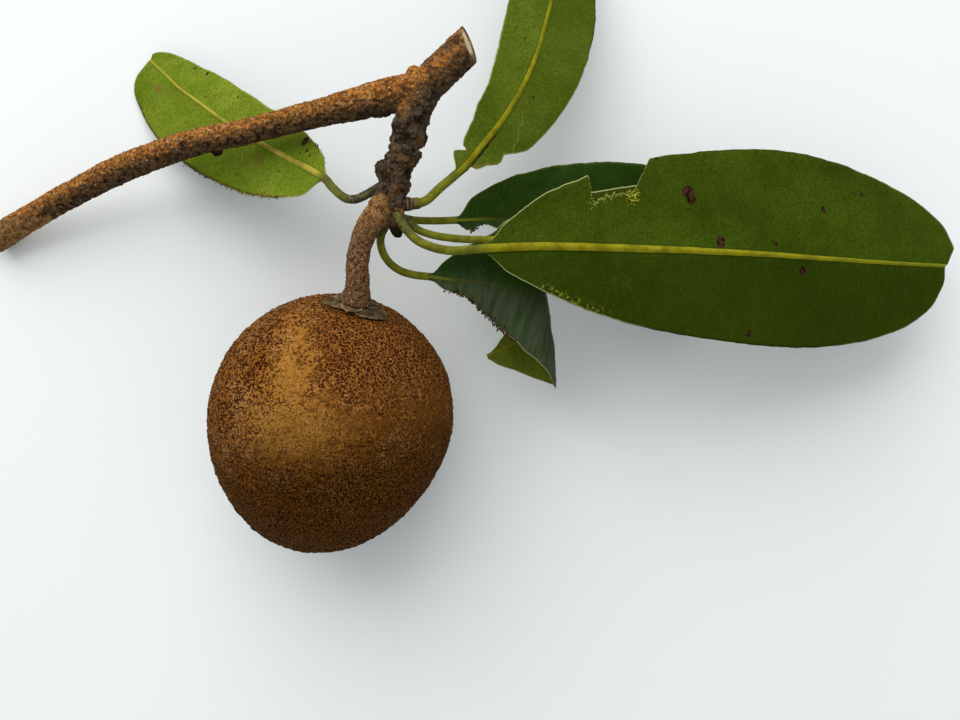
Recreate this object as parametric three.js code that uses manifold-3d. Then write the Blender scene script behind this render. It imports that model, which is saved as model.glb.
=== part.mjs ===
// A cut sapodilla sprig laid on a table: one ripe fruit on its stalk, the woody
// shoot that it hangs from and six leathery leaves. Millimetres, +Z up. The origin
// lies on the small flat spot that the fruit rests on, straight under its middle.
import * as THREE from 'three';
import { mergeVertices } from 'three/addons/utils/BufferGeometryUtils.js';
import Module from 'manifold-3d';

const manifold = await Module();
manifold.setup();

// Driving dimensions
const jointGap = 0.3;             // left between pieces that touch
const fruitHalfWidth = 34.6;
const fruitTopHeight = 37.5;      // from the middle up to the stalk end
const fruitEndHeight = 39;        // from the middle down to the blossom end
const fruitRestRadius = 8;        // of the flat spot
const fruitLean = 14.5;           // degrees of the stalk end towards +X
const fruitRise = 24;             // degrees of the stalk end above the table
const fruitBelly = 0.04;          // share that it is wider towards the stalk end
const fruitFlattening = 0.055;    // share lost where its side is pressed in
const calyxReach = 8.2;
const calyxThickness = 1.3;
const calyxLift = jointGap + 0.15;
const stalkFootLift = jointGap + 0.7;
const bladeThickness = 0.66;
const ribTipRadius = 0.42;
const ribShare = 0.36;            // of the points from midrib to edge that the midrib takes
const petioleBlend = 0.04;        // share of the blade over which the petiole turns flat
const petioleSides = 22;          // also the points round a leaf blade
const woodSides = 16;
const branchRows = 36;
const spurRows = 20;
const stalkRows = 15;

const degree = Math.PI / 180;
const vec = ([x, y, z]) => new THREE.Vector3(x, y, z);
const path = (points) => new THREE.CatmullRomCurve3(points.map(vec));

// Solids and their joins

function closedSolid(geometry) {
  geometry.deleteAttribute('normal');
  geometry.deleteAttribute('uv');
  return mergeVertices(geometry, 1e-4);
}

function toManifold(geometry) {
  const closed = closedSolid(geometry);
  return new manifold.Manifold(new manifold.Mesh({
    numProp: 3,
    vertProperties: new Float32Array(closed.attributes.position.array),
    triVerts: new Uint32Array(closed.index.array),
  }));
}

function toGeometry(solid) {
  const mesh = solid.getMesh();
  const geometry = new THREE.BufferGeometry();
  geometry.setAttribute('position', new THREE.BufferAttribute(mesh.vertProperties, 3));
  geometry.setIndex(new THREE.BufferAttribute(mesh.triVerts, 1));
  geometry.computeVertexNormals();
  return geometry;
}

// A closed cylinder whose every corner is moved to place(t, angle, radius), with t
// from 0 at its start to 1 at its end and radius 1 on its skin, 0 at its axis.
function bentCylinder(sides, stations, place) {
  const rows = stations.length - 1;
  const geometry = new THREE.CylinderGeometry(1, 1, 1, sides, rows, false, Math.PI / sides);
  const position = geometry.attributes.position;
  for (let i = 0; i < position.count; i++) {
    const across = position.getX(i);
    const up = position.getZ(i);
    const row = Math.round((0.5 - position.getY(i)) * rows);
    const point = place(stations[row], Math.atan2(up, across), Math.hypot(across, up));
    position.setXYZ(i, point.x, point.y, point.z);
  }
  return geometry;
}

// Frames along a curve, each turned from the last by as little as the curve turns
function framesAlong(curve, stations, face) {
  let normal = vec(face);
  return new Map(stations.map((t) => {
    const tangent = curve.getTangentAt(t);
    normal = normal.clone().addScaledVector(tangent, -normal.dot(tangent)).normalize();
    const side = new THREE.Vector3().crossVectors(normal, tangent);
    return [t, { centre: curve.getPointAt(t), normal, side }];
  }));
}

const evenly = (count) => Array.from({ length: count + 1 }, (_, i) => i / count);

function between(values, t) {
  const at = Math.min(t, 0.9999) * (values.length - 1);
  const first = Math.floor(at);
  return THREE.MathUtils.lerp(values[first], values[first + 1], at - first);
}

// A round tube with a radius that changes along it
function taperedTube(points, radii, sides, steps, grow = 0) {
  const curve = path(points);
  const stations = evenly(steps);
  const frames = framesAlong(curve, stations, [0, 0, 1]);
  return bentCylinder(sides, stations, (t, angle, radius) => {
    const { centre, normal, side } = frames.get(t);
    const reach = radius * (between(radii, t) + grow);
    return centre.clone()
      .addScaledVector(side, reach * Math.cos(angle))
      .addScaledVector(normal, reach * Math.sin(angle));
  });
}

// The fruit

const fruitTurn = new THREE.Matrix4().makeRotationFromEuler(
  new THREE.Euler(fruitRise * degree, 0, -fruitLean * degree, 'ZXY'));
const fruitCentre = new THREE.Vector3(
  0, 0, Math.sqrt(fruitHalfWidth ** 2 - fruitRestRadius ** 2));
const pressedSide = new THREE.Vector3(0.75, -0.66, 0).normalize();

// The skin at a latitude from -90 to 90 degrees and a longitude round the fruit's
// own axis, lifted off it by lift. Its axis is +Y before the fruit is laid down.
function fruitSkin(latitude, longitude, lift = 0) {
  const height = latitude > 0 ? fruitTopHeight : fruitEndHeight;
  const belly = 1 + fruitBelly * Math.sin(latitude) * Math.cos(latitude) ** 2;
  const across = fruitHalfWidth * Math.cos(latitude) * belly + lift * Math.cos(latitude);
  const along = (height + lift) * Math.sin(latitude);
  const skin = new THREE.Vector3(
    across * Math.cos(longitude), along, across * Math.sin(longitude));
  const pressed = Math.max(0, skin.clone().normalize().dot(pressedSide));
  return skin.multiplyScalar(1 - fruitFlattening * pressed ** 4);
}

function makeFruit() {
  const rows = 26;
  const profile = evenly(rows).map((t) => {
    const latitude = (t - 0.5) * Math.PI;
    return new THREE.Vector2(Math.cos(latitude), latitude);
  });
  profile[0].x = 0;
  profile[rows].x = 0;
  const geometry = new THREE.LatheGeometry(profile, 44);
  const position = geometry.attributes.position;
  for (let i = 0; i < position.count; i++) {
    const longitude = Math.atan2(position.getZ(i), position.getX(i));
    const skin = fruitSkin(position.getY(i), longitude);
    position.setXYZ(i, skin.x, skin.y, skin.z);
  }
  geometry.applyMatrix4(fruitTurn).translate(0, 0, fruitCentre.z);
  const table = new THREE.BoxGeometry(100, 100, 20).translate(0, 0, -10);
  return toGeometry(toManifold(geometry).subtract(toManifold(table)));
}

// The calyx: dry lobes pressed on the fruit round the foot of the stalk

function calyxSolid(grow) {
  const lobes = 5;
  const geometry = new THREE.SphereGeometry(1, 50, 10);
  const position = geometry.attributes.position;
  for (let i = 0; i < position.count; i++) {
    const longitude = Math.atan2(position.getZ(i), position.getX(i));
    const out = Math.hypot(position.getX(i), position.getZ(i));
    const lobe = Math.abs(Math.cos(lobes * (longitude - 0.3) / 2)) ** 0.7;
    const reach = calyxReach * (0.5 + 0.5 * lobe) * out;
    const thickness = calyxThickness * (1 - 0.45 * out ** 2);
    const rise = out > 0.999 ? 0.5 : position.getY(i) > 0 ? 1 : 0;
    const latitude = Math.PI / 2 - reach / fruitHalfWidth;
    const skin = fruitSkin(latitude, longitude, calyxLift + (thickness + grow) * rise);
    position.setXYZ(i, skin.x, skin.y, skin.z);
  }
  return geometry.applyMatrix4(fruitTurn).translate(0, 0, fruitCentre.z);
}

// The wood: a branch that comes down to the table at its left end, the cut stub
// that it grew from, and the knobbly leafy spur that bears the fruit and leaves

const branchPath = [
  [-112.1, 55.9, 4.15], [-94.7, 64.5, 9], [-80.4, 70.5, 14], [-66.4, 75.9, 18.6],
  [-52.6, 79.5, 24], [-39.1, 82.1, 29.5], [-26.2, 83.3, 34.5], [-13.7, 85.1, 39.5],
  [-1.7, 86.8, 44], [9.9, 88.6, 47.6], [19.7, 90.3, 50], [27, 92, 51],
  [33.8, 97.6, 51.5], [43.8, 107.4, 51.5],
];
const branchRadii = [4.25, 4, 3.95, 4.2, 4, 3.65, 3.6, 3.8, 4.8, 4.9, 4.8];
const spurPath = [
  [27.6, 91.3, 51], [25, 85.3, 51], [23.1, 79.1, 51], [21.6, 73.7, 51],
  [19.5, 68.2, 51], [18.7, 62.8, 50.8], [19.2, 58, 50.4], [20, 54.5, 50], [20.5, 51.4, 49.6],
];
const spurRadii = [4.8, 4.7, 4.6, 3.9, 4.2, 4, 4.1, 2.8, 1.1];
const knobs = [                    // middle and radius of old buds and leaf scars
  [[16.7, 69.6, 51.5], 2.6], [[24.6, 73.3, 51.5], 2.1], [[26.8, 77.6, 51], 1.9],
  [[24.8, 95.9, 51], 2], [[-34, 79.3, 29.6], 1.7], [[-43, 82, 31.5], 1.9],
];
const cutFace = { at: [39.6, 104, 51.5], facing: [0.9, 0.32, 0.27] };

function woodSolid(grow) {
  let wood = toManifold(taperedTube(branchPath, branchRadii, woodSides, branchRows, grow));
  wood = wood.add(toManifold(taperedTube(spurPath, spurRadii, woodSides, spurRows, grow)));
  for (const [middle, radius] of knobs) {
    const knob = new THREE.IcosahedronGeometry(radius + grow, 1).translate(...middle);
    wood = wood.add(toManifold(knob));
  }
  return wood;
}

function makeWood() {
  const saw = new THREE.BoxGeometry(30, 30, 30).translate(0, 0, 15);
  const facing = vec(cutFace.facing).normalize();
  saw.applyQuaternion(
    new THREE.Quaternion().setFromUnitVectors(new THREE.Vector3(0, 0, 1), facing));
  saw.translate(...cutFace.at);
  return toGeometry(woodSolid(0).subtract(toManifold(saw)));
}

// The room that the wood and a clear gap round it take up, which the stalk and the
// petioles stop at
const woodRoom = woodSolid(jointGap);
const butted = (geometry) => toGeometry(toManifold(geometry).subtract(woodRoom));

// The fruit stalk, from the calyx up into the spur

const stalkFoot = fruitSkin(Math.PI / 2, 0, stalkFootLift)
  .applyMatrix4(fruitTurn).add(fruitCentre);
const stalkPath = [
  stalkFoot.toArray(), [9.6, 38, 50.8], [9.6, 43.9, 51.6], [10.5, 49.2, 51.5],
  [12.7, 54.3, 51.8], [16, 58.9, 51.4], [18.4, 62, 51],
];
const stalkRadii = [4, 3.25, 3.1, 3, 3.05, 3.2, 3.4, 3.6, 3.8];

function makeStalk() {
  const stalk = toManifold(taperedTube(stalkPath, stalkRadii, woodSides, stalkRows));
  return toGeometry(stalk.subtract(woodRoom).subtract(toManifold(calyxSolid(jointGap))));
}

// Leaves. Each is one blade and petiole. Seen along the midrib from the petiole,
// left and right give the widest half width of each side and how fast the side
// opens from the base (open) and closes to the tip (close).

const sideWidth = ({ half, open, close }, s) => {
  const widest = open / (open + close);
  return half * (s / widest) ** open * ((1 - s) / (1 - widest)) ** close;
};

// Stations along a leaf: few on the petiole, closer at both ends of the blade
function leafStations(bladeStart, petioleRows, bladeRows, extra) {
  const petiole = evenly(petioleRows).slice(0, -1).map((t) => t * bladeStart);
  const blade = evenly(bladeRows).map((t) => (1 - Math.cos(Math.PI * t)) / 2);
  const all = blade.concat(extra).sort((a, b) => a - b);
  return petiole.concat(all.map((s) => bladeStart + s * (1 - bladeStart)));
}

// How far a point of a leaf's cross-section lies from the midrib, and how far out
// of the blade, at an angle round the section and a place s along the blade
function leafSection(leaf, s, angle, stem) {
  const leftSide = Math.cos(angle) > 0;
  const rib = THREE.MathUtils.lerp(leaf.ribRadius, ribTipRadius, s);
  const q = 2 * Math.abs(Math.abs(angle) / Math.PI - 0.5);
  const ribHalf = 1.25 * rib;
  let width = s > 0 ? sideWidth(leftSide ? leaf.left : leaf.right, s) : 0;
  if (leaf.bite && leftSide) width -= biteDepth(leaf.bite, s);
  width = Math.max(width, rib * 1.3);
  const ridge = Math.max(0, 1 - (q / ribShare) ** 2);
  const flat = q < ribShare ? ribHalf * q / ribShare
    : ribHalf + (width - ribHalf) * (q - ribShare) / (1 - ribShare);
  const onRibFace = Math.sin(angle) * leaf.ribFace > 0;
  const half = bladeThickness / 2;
  const bladeOut = half + (onRibFace ? ridge * (rib * 1.1 - half) : 0);
  const round = { across: stem.radius * Math.cos(angle), out: stem.radius * Math.sin(angle) };
  const blade = {
    across: (leftSide ? 1 : -1) * flat,
    out: Math.sign(Math.sin(angle)) * Math.max(bladeOut, half),
  };
  return {
    across: THREE.MathUtils.lerp(blade.across, round.across, stem.share),
    out: THREE.MathUtils.lerp(blade.out, round.out, stem.share),
    width,
  };
}

function biteDepth({ from, to, depth, slant }, s) {
  const into = THREE.MathUtils.clamp((s - from) / 0.006, 0, 1);
  const outOf = THREE.MathUtils.clamp((to - s) / slant, 0, 1);
  return depth * Math.min(into, outOf);
}

// Cupping, a sideways roll and waves lift the blade's surface off its flat frame
function bladeLift(leaf, s, across, width) {
  const edge = Math.abs(across) / Math.max(width, 1);
  const cup = -Math.tan(leaf.cup * degree) * Math.abs(across) * Math.min(1, 4 * s);
  const phase = 2 * Math.PI * leaf.waves * s + (across > 0 ? 0 : leaf.waveShift);
  return cup + leaf.waveHeight * edge ** 2 * Math.sin(phase) * Math.min(1, 6 * s);
}

function leafShape(leaf, bladeRows, place) {
  const start = leaf.bladeStart;
  const stations = leafStations(start, leaf.petioleRows, bladeRows, leaf.extra ?? []);
  return bentCylinder(petioleSides, stations, (t, angle, radius) => {
    const s = Math.max(0, (t - start) / (1 - start));
    const foot = Math.max(0, 1 - t / (start * leaf.footShare));
    const stem = {
      radius: leaf.stemRadius + (leaf.footRadius - leaf.stemRadius) * foot ** 0.5,
      share: THREE.MathUtils.clamp(1 - s / petioleBlend, 0, 1),
    };
    const section = leafSection(leaf, s, angle, stem);
    const lift = bladeLift(leaf, s, section.across, section.width);
    return place(t, section.across * radius, section.out * radius + lift * radius);
  });
}

// A leaf whose midrib follows its path, with its blade turned about it by roll
function pathLeaf(leaf) {
  const curve = path(leaf.path);
  const whole = curve.getLength();
  leaf.bladeStart = path(leaf.path.slice(0, leaf.stemPoints)).getLength() / whole;
  const stations = leafStations(leaf.bladeStart, leaf.petioleRows, leaf.bladeRows,
    leaf.extra ?? []);
  const frames = framesAlong(curve, stations, [0, 0, 1]);
  return butted(leafShape(leaf, leaf.bladeRows, (t, across, out) => {
    const { centre, normal, side } = frames.get(t);
    const roll = leaf.roll * degree;
    return centre.clone()
      .addScaledVector(side, across * Math.cos(roll) - out * Math.sin(roll))
      .addScaledVector(normal, across * Math.sin(roll) + out * Math.cos(roll));
  }));
}

const commonLeaf = {
  ribRadius: 1.25, stemRadius: 1.25, footRadius: 1.25, footShare: 0.3, ribFace: 1,
  petioleRows: 8, bladeRows: 17, roll: 0, cup: 6, waves: 2, waveHeight: 1, waveShift: 1.5,
};

const leaves = {
  leaf_left: {
    ...commonLeaf, roll: 6, stemPoints: 7, waveHeight: 0.9, cup: 5, stemRadius: 1.2,
    ribRadius: 0.9,
    left: { half: 18, open: 0.45, close: 0.25 },
    right: { half: 10.8, open: 0.42, close: 0.4 },
    path: [
      [18.3, 67.1, 49.5], [14.4, 64.9, 48.6], [11.9, 63.5, 48.2], [8.8, 62.3, 47.5],
      [5.9, 62.6, 46.6], [2.1, 65.7, 45], [-0.7, 68.9, 43], [-11.7, 75.8, 35],
      [-23.6, 83, 27], [-34.7, 90.5, 20], [-43.2, 97, 15], [-50.7, 102.8, 10.5],
      [-56.4, 108.2, 7], [-61.7, 113.2, 4],
    ],
  },
  leaf_top: {
    ...commonLeaf, stemPoints: 5, footRadius: 2.1, footShare: 0.34, ribRadius: 0.9,
    left: { half: 12.4, open: 0.7, close: 0.36 },
    right: { half: 15.7, open: 0.62, close: 0.5 },
    path: [
      [19.5, 60.5, 50.5], [24.3, 60.5, 50.5], [27.8, 61.3, 50], [31.9, 65.2, 48.5],
      [38.4, 71.4, 46], [43.4, 78, 43.5], [48.6, 85, 41], [53.9, 93.9, 38],
      [58.5, 104.6, 34.5], [61.4, 114.7, 31], [63.7, 124.1, 27.5], [67, 141.7, 20.5],
      [70.1, 158, 13],
    ],
  },
  leaf_large: {
    ...commonLeaf, stemPoints: 6, bladeRows: 20, cup: 8, ribRadius: 1.35, waveHeight: 1.3,
    left: { half: 31.3, open: 0.6, close: 0.38 },
    right: { half: 25.5, open: 0.66, close: 0.42 },
    bite: { from: 0.209, to: 0.342, depth: 8.6, slant: 0.036 },
    extra: [0.209, 0.215, 0.306, 0.342],
    path: [
      [20.2, 57.4, 52.5], [22.7, 53.5, 54], [26, 50.1, 55], [30.4, 48.1, 55.5],
      [35.3, 47.3, 55], [43.3, 47.9, 54.3], [58.9, 48.6, 53.3], [75.2, 48.5, 51.6],
      [91.9, 48.3, 49], [107.7, 48, 46], [125.4, 47.5, 42], [142.5, 46.9, 37],
      [162.1, 46.3, 31], [180.8, 46.1, 24.5],
    ],
  },
  leaf_hidden: {
    ...commonLeaf, stemPoints: 6, stemRadius: 1.05, footRadius: 1.15, ribRadius: 1.1,
    left: { half: 19.6, open: 0.68, close: 0.4 },
    right: { half: 17.3, open: 0.6, close: 0.4 },
    path: [
      [20.4, 58, 48.6], [23.4, 55.6, 48.6], [26.1, 53.6, 48.6], [29.9, 52.3, 48.3],
      [35.9, 51.4, 48], [43.9, 51.1, 47.3], [65, 51.1, 44.5], [87.9, 50.8, 40],
      [112, 50.1, 33.5], [137.7, 49.2, 25.5], [158.9, 48.5, 18],
    ],
  },
  leaf_back: {
    ...commonLeaf, stemPoints: 4, stemRadius: 1.05, footRadius: 1.15, ribRadius: 1,
    ribFace: -1, cup: -7, waveHeight: 0.8,
    left: { half: 18.3, open: 0.62, close: 0.5 },
    right: { half: 15, open: 1.3, close: 0.5 },
    path: [
      [19.5, 58, 45], [23.4, 57.1, 44.3], [28.8, 57, 42.5], [36.3, 57.6, 39.5],
      [44.5, 58.4, 36.5], [54.4, 58.8, 33], [72.4, 58.9, 26], [91.4, 58.8, 18],
      [111.7, 58.5, 7.6], [125.6, 58.1, 0.4],
    ],
  },
};

// The curled leaf. Its blade is laid out flat, with p running to the bend and q
// along the bend's axis, and then rolled over that axis and back under itself.

const curl = {
  base: [28.7, 41.6, 40], toBend: [0.992, 0.127, 0], alongBend: [0.127, -0.992, 0],
  bendStart: 25.5, bendRadius: 8, bendTurn: 192, slope: 5,
};
const curledLeaf = {
  ...commonLeaf, ribFace: -1, cup: 0, waveHeight: 0.7, ribRadius: 1, stemRadius: 1.1,
  bladeRows: 24,
  left: { half: 14.4, open: 0.8, close: 1.2 },
  right: { half: 21.4, open: 2.1, close: 1.05 },
  stem: [[18.9, 57.6, 48], [16.7, 55, 46.3], [15.3, 51.8, 45.5], [15.8, 48.1, 44.6],
    [17.7, 45.1, 43.5], [20.7, 43, 42.2], [24.4, 42, 41]],
  flat: [[0, 0], [7.8, 2], [16.8, 4.1], [25.8, 8.1], [38.1, 14.5], [50.5, 20.6], [61.7, 24.1]],
};

// A place on the rolled blade: p along the bend's section, q across, out off it
function curlPoint(p, q, out) {
  const { bendStart, bendRadius, bendTurn, slope } = curl;
  const turn = THREE.MathUtils.clamp((p - bendStart) / bendRadius, 0, bendTurn * degree);
  const past = Math.max(0, p - bendStart - bendRadius * bendTurn * degree);
  const straight = Math.min(p, bendStart);
  const forward = straight + bendRadius * Math.sin(turn) + past * Math.cos(turn);
  const down = bendRadius * (1 - Math.cos(turn)) + past * Math.sin(turn);
  const lean = slope * degree;
  const run = forward + out * Math.sin(turn);
  const rise = out * Math.cos(turn) - down;
  return vec(curl.base)
    .addScaledVector(vec(curl.toBend), run * Math.cos(lean) + rise * Math.sin(lean))
    .addScaledVector(vec(curl.alongBend), q)
    .add(new THREE.Vector3(0, 0, rise * Math.cos(lean) - run * Math.sin(lean)));
}

function makeCurledLeaf() {
  const leaf = curledLeaf;
  const midrib = path(leaf.flat.map(([p, q]) => [p, q, 0]));
  const bladeLength = midrib.getLength();
  const stem = path([...leaf.stem, curl.base]);
  const stemLength = stem.getLength();
  leaf.bladeStart = stemLength / (stemLength + bladeLength);
  const start = leaf.bladeStart;
  const stations = leafStations(start, leaf.petioleRows, leaf.bladeRows, []);
  const stemStations = stations.filter((t) => t < start).map((t) => t / start).concat(1);
  const frames = framesAlong(stem, stemStations, [0, 0, 1]);
  return butted(leafShape(leaf, leaf.bladeRows, (t, across, out) => {
    if (t < start) {
      const { centre, normal, side } = frames.get(t / start);
      return centre.clone().addScaledVector(side, across).addScaledVector(normal, out);
    }
    const s = Math.min(1, (t - start) / (1 - start));
    const at = midrib.getPointAt(s);
    const along = midrib.getTangentAt(s);
    return curlPoint(at.x + across * along.y, at.y - across * along.x, out);
  }));
}

// The sprig

const sapodilla = new THREE.Group();

function addPiece(name, geometry, color, roughness) {
  const material = new THREE.MeshStandardMaterial({ color, roughness, metalness: 0 });
  const mesh = new THREE.Mesh(geometry, material);
  mesh.name = name;
  sapodilla.add(mesh);
}

addPiece('fruit', makeFruit(), 0x8a5a2c, 0.8);
addPiece('calyx', calyxSolid(0), 0x6b5138, 0.9);
addPiece('fruit_stalk', makeStalk(), 0x7c5632, 0.9);
addPiece('wood', makeWood(), 0x6e4c33, 0.9);
for (const [name, leaf] of Object.entries(leaves)) {
  addPiece(name, pathLeaf(leaf), leaf.ribFace > 0 ? 0x5d7a1c : 0x24451c, 0.5);
}
addPiece('leaf_curled', makeCurledLeaf(), 0x24451c, 0.5);

export default sapodilla;
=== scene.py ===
# Sapodilla on a cut leafy sprig, laid down and seen from straight above.
# Lengths in the dictionaries are mm and angles are degrees where nothing else is said.
import math
import bpy
import bmesh
import numpy as np
from mathutils import Matrix, Quaternion, Vector, noise


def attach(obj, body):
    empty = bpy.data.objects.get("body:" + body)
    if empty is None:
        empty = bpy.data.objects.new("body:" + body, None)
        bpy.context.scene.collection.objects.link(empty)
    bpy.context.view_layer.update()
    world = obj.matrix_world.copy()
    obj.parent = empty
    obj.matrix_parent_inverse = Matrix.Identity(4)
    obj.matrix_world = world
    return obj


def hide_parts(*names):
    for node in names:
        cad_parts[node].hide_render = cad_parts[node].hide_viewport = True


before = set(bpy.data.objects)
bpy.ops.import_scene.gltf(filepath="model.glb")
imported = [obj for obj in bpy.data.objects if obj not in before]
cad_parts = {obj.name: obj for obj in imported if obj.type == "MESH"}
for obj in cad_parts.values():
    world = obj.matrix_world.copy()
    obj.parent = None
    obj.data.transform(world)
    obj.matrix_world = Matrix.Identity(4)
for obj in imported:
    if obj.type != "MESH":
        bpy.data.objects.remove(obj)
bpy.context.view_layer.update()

mm = 0.001
print("frame loaded, nodes:", len(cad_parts))


# Camera and light

view = {
    "place": (42.8, 18.1, 322),      # mm, the camera looks straight down
    "lens": 37.5, "sensorWidth": 36,
    "floorColour": (0.90, 0.93, 0.915, 1),
    "skyColour": (0.93, 0.97, 1.0, 1), "skyStrength": 0.52,
    # name, place and aim in metres, side in metres, watts
    "lights": [("key", (-0.3, 1.0, 0.85), (0.03, 0.05, 0), 1.5, 17),
               ("top", (0.1, 0.25, 1.2), (0.05, 0.05, 0), 1.0, 1.5)],
}

cameraData = bpy.data.cameras.new("camera")
cameraData.lens = view["lens"]
cameraData.sensor_width = view["sensorWidth"]
camera = bpy.data.objects.new("camera", cameraData)
camera.location = Vector(view["place"]) * mm
bpy.context.scene.collection.objects.link(camera)
bpy.context.scene.camera = camera

world = bpy.data.worlds.new("studio")
bpy.context.scene.world = world
world.use_nodes = True
sky = world.node_tree.nodes["Background"]
sky.inputs["Color"].default_value = view["skyColour"]
sky.inputs["Strength"].default_value = view["skyStrength"]
bpy.context.scene.view_settings.view_transform = "Standard"


def addLight(name, place, aim, size, power):
    data = bpy.data.lights.new(name, "AREA")
    data.size = size
    data.energy = power
    light = bpy.data.objects.new(name, data)
    light.location = place
    light.rotation_mode = "QUATERNION"
    light.rotation_quaternion = (Vector(aim) - Vector(place)).to_track_quat("-Z", "Y")
    bpy.context.scene.collection.objects.link(light)


for lightGiven in view["lights"]:
    addLight(*lightGiven)
print("camera and lights placed")


# Node helpers: each adds one node and gives back its output socket

def newMaterial(name):
    material = bpy.data.materials.new(name)
    material.use_nodes = True
    return material, material.node_tree, material.node_tree.nodes["Principled BSDF"]


def addNode(tree, kind, inputs=None, out=0, **settings):
    made = tree.nodes.new(kind)
    for key, value in settings.items():
        setattr(made, key, value)
    for key, value in (inputs or {}).items():
        if isinstance(value, bpy.types.NodeSocket):
            tree.links.new(value, made.inputs[key])
        else:
            made.inputs[key].default_value = value
    return made.outputs[out]


def coordsOf(tree):
    return addNode(tree, "ShaderNodeTexCoord", out="Object")


def noiseOf(tree, coords, scale, detail=3, rough=0.55):
    return addNode(tree, "ShaderNodeTexNoise", {
        "Vector": coords, "Scale": scale, "Detail": detail, "Roughness": rough}, out="Fac")


def cellsOf(tree, coords, scale, feature="DISTANCE_TO_EDGE", out="Distance"):
    return addNode(tree, "ShaderNodeTexVoronoi", {"Vector": coords, "Scale": scale},
                   out=out, feature=feature)


def mathOf(tree, kind, a, b=0.0, c=0.0):
    return addNode(tree, "ShaderNodeMath", {0: a, 1: b, 2: c}, operation=kind)


def ramp(tree, value, low, high, toLow=0.0, toHigh=1.0):
    return addNode(tree, "ShaderNodeMapRange", {
        "Value": value, "From Min": low, "From Max": high, "To Min": toLow,
        "To Max": toHigh}, interpolation_type="SMOOTHSTEP")


def patchesOf(tree, coords, scale, detail, rough, low, high, toLow=0.0, toHigh=1.0):
    # soft patches: toLow turns to toHigh as the noise goes from low to high
    return ramp(tree, noiseOf(tree, coords, scale, detail, rough), low, high, toLow, toHigh)


def blendOf(tree, share, first, second):
    # the sockets 0, 6, 7 and 2 are the colour mixer's own share, two colours and result
    return addNode(tree, "ShaderNodeMix", {0: share, 6: first, 7: second}, out=2,
                   data_type="RGBA")


def times(tree, a, b):
    return mathOf(tree, "MULTIPLY", a, b)


def timesPlus(tree, value, factor, added):
    return mathOf(tree, "MULTIPLY_ADD", value, factor, added)


def plus(tree, a, b):
    return mathOf(tree, "ADD", a, b)


def minus(tree, a, b):
    return mathOf(tree, "SUBTRACT", a, b)


def spotMask(tree, coords, middle, size, soft, wobble):
    # 1 inside an ellipsoid round middle, 0 outside, with a soft edge that wobbles
    away = addNode(tree, "ShaderNodeVectorMath", {0: coords, 1: middle}, operation="SUBTRACT")
    scaled = addNode(tree, "ShaderNodeVectorMath", {
        0: away, 1: tuple(1 / s for s in size)}, operation="MULTIPLY")
    length = addNode(tree, "ShaderNodeVectorMath", {0: scaled}, out="Value", operation="LENGTH")
    return ramp(tree, plus(tree, length, wobble), 1 - soft, 1 + soft, 1, 0)


def largestOf(tree, values):
    largest = values[0]
    for value in values[1:]:
        largest = mathOf(tree, "MAXIMUM", largest, value)
    return largest


def wobbleOf(tree, coords, scale, amount):
    return timesPlus(tree, noiseOf(tree, coords, scale, 4), 2 * amount, -amount)


def shiftedCoords(tree, coords, scale, amount):
    # coordinates shaken by noise, so that cells and bands lose their even look
    shake = addNode(tree, "ShaderNodeTexNoise", {"Vector": coords, "Scale": scale, "Detail": 2},
                    out="Color")
    return addNode(tree, "ShaderNodeVectorMath", {0: coords, 1: addNode(
        tree, "ShaderNodeVectorMath", {0: shake, 3: amount}, operation="SCALE")}, operation="ADD")


def bumpOf(tree, height, distance, strength, normal=None):
    inputs = {"Height": height, "Distance": distance, "Strength": strength}
    if normal is not None:
        inputs["Normal"] = normal
    return addNode(tree, "ShaderNodeBump", inputs)


def attributeOf(tree, name):
    return addNode(tree, "ShaderNodeAttribute", out="Fac", attribute_name=name)


def finishMaterial(tree, shader, colour, rough, shine, normal=None):
    tree.links.new(colour, shader.inputs["Base Color"])
    shader.inputs["Roughness"].default_value = rough
    shader.inputs["Specular IOR Level"].default_value = shine
    if normal is not None:
        tree.links.new(normal, shader.inputs["Normal"])


# Mesh helpers

def meshPiece(name, points, faces, materials, slots=None, uvs=None):
    mesh = bpy.data.meshes.new(name)
    mesh.from_pydata(np.asarray(points, float).tolist(), [], faces)
    mesh.polygons.foreach_set("use_smooth", [True] * len(mesh.polygons))
    for material in materials:
        mesh.materials.append(material)
    if slots is not None:
        mesh.polygons.foreach_set("material_index", slots)
    if uvs is not None:
        corner = np.zeros(len(mesh.loops), int)
        mesh.loops.foreach_get("vertex_index", corner)
        for layer, values in uvs.items():
            mesh.uv_layers.new(name=layer).data.foreach_set("uv", values[corner].ravel())
    mesh.update()
    piece = bpy.data.objects.new(name, mesh)
    bpy.context.scene.collection.objects.link(piece)
    return piece


def place(piece, slot, *nodes):
    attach(piece, "root")
    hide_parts(*nodes)


def fixNormals(piece):
    work = bmesh.new()
    work.from_mesh(piece.data)
    bmesh.ops.recalc_face_normals(work, faces=work.faces[:])
    work.to_mesh(piece.data)
    work.free()


def unitBall(subdivisions):
    ball = bmesh.new()
    bmesh.ops.create_icosphere(ball, subdivisions=subdivisions, radius=1)
    points = np.array([v.co for v in ball.verts])
    faces = [[v.index for v in f.verts] for f in ball.faces]
    ball.free()
    return points, faces


def addValues(mesh, name, values):
    mesh.attributes.new(name, "FLOAT", "POINT").data.foreach_set("value", values)


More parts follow.
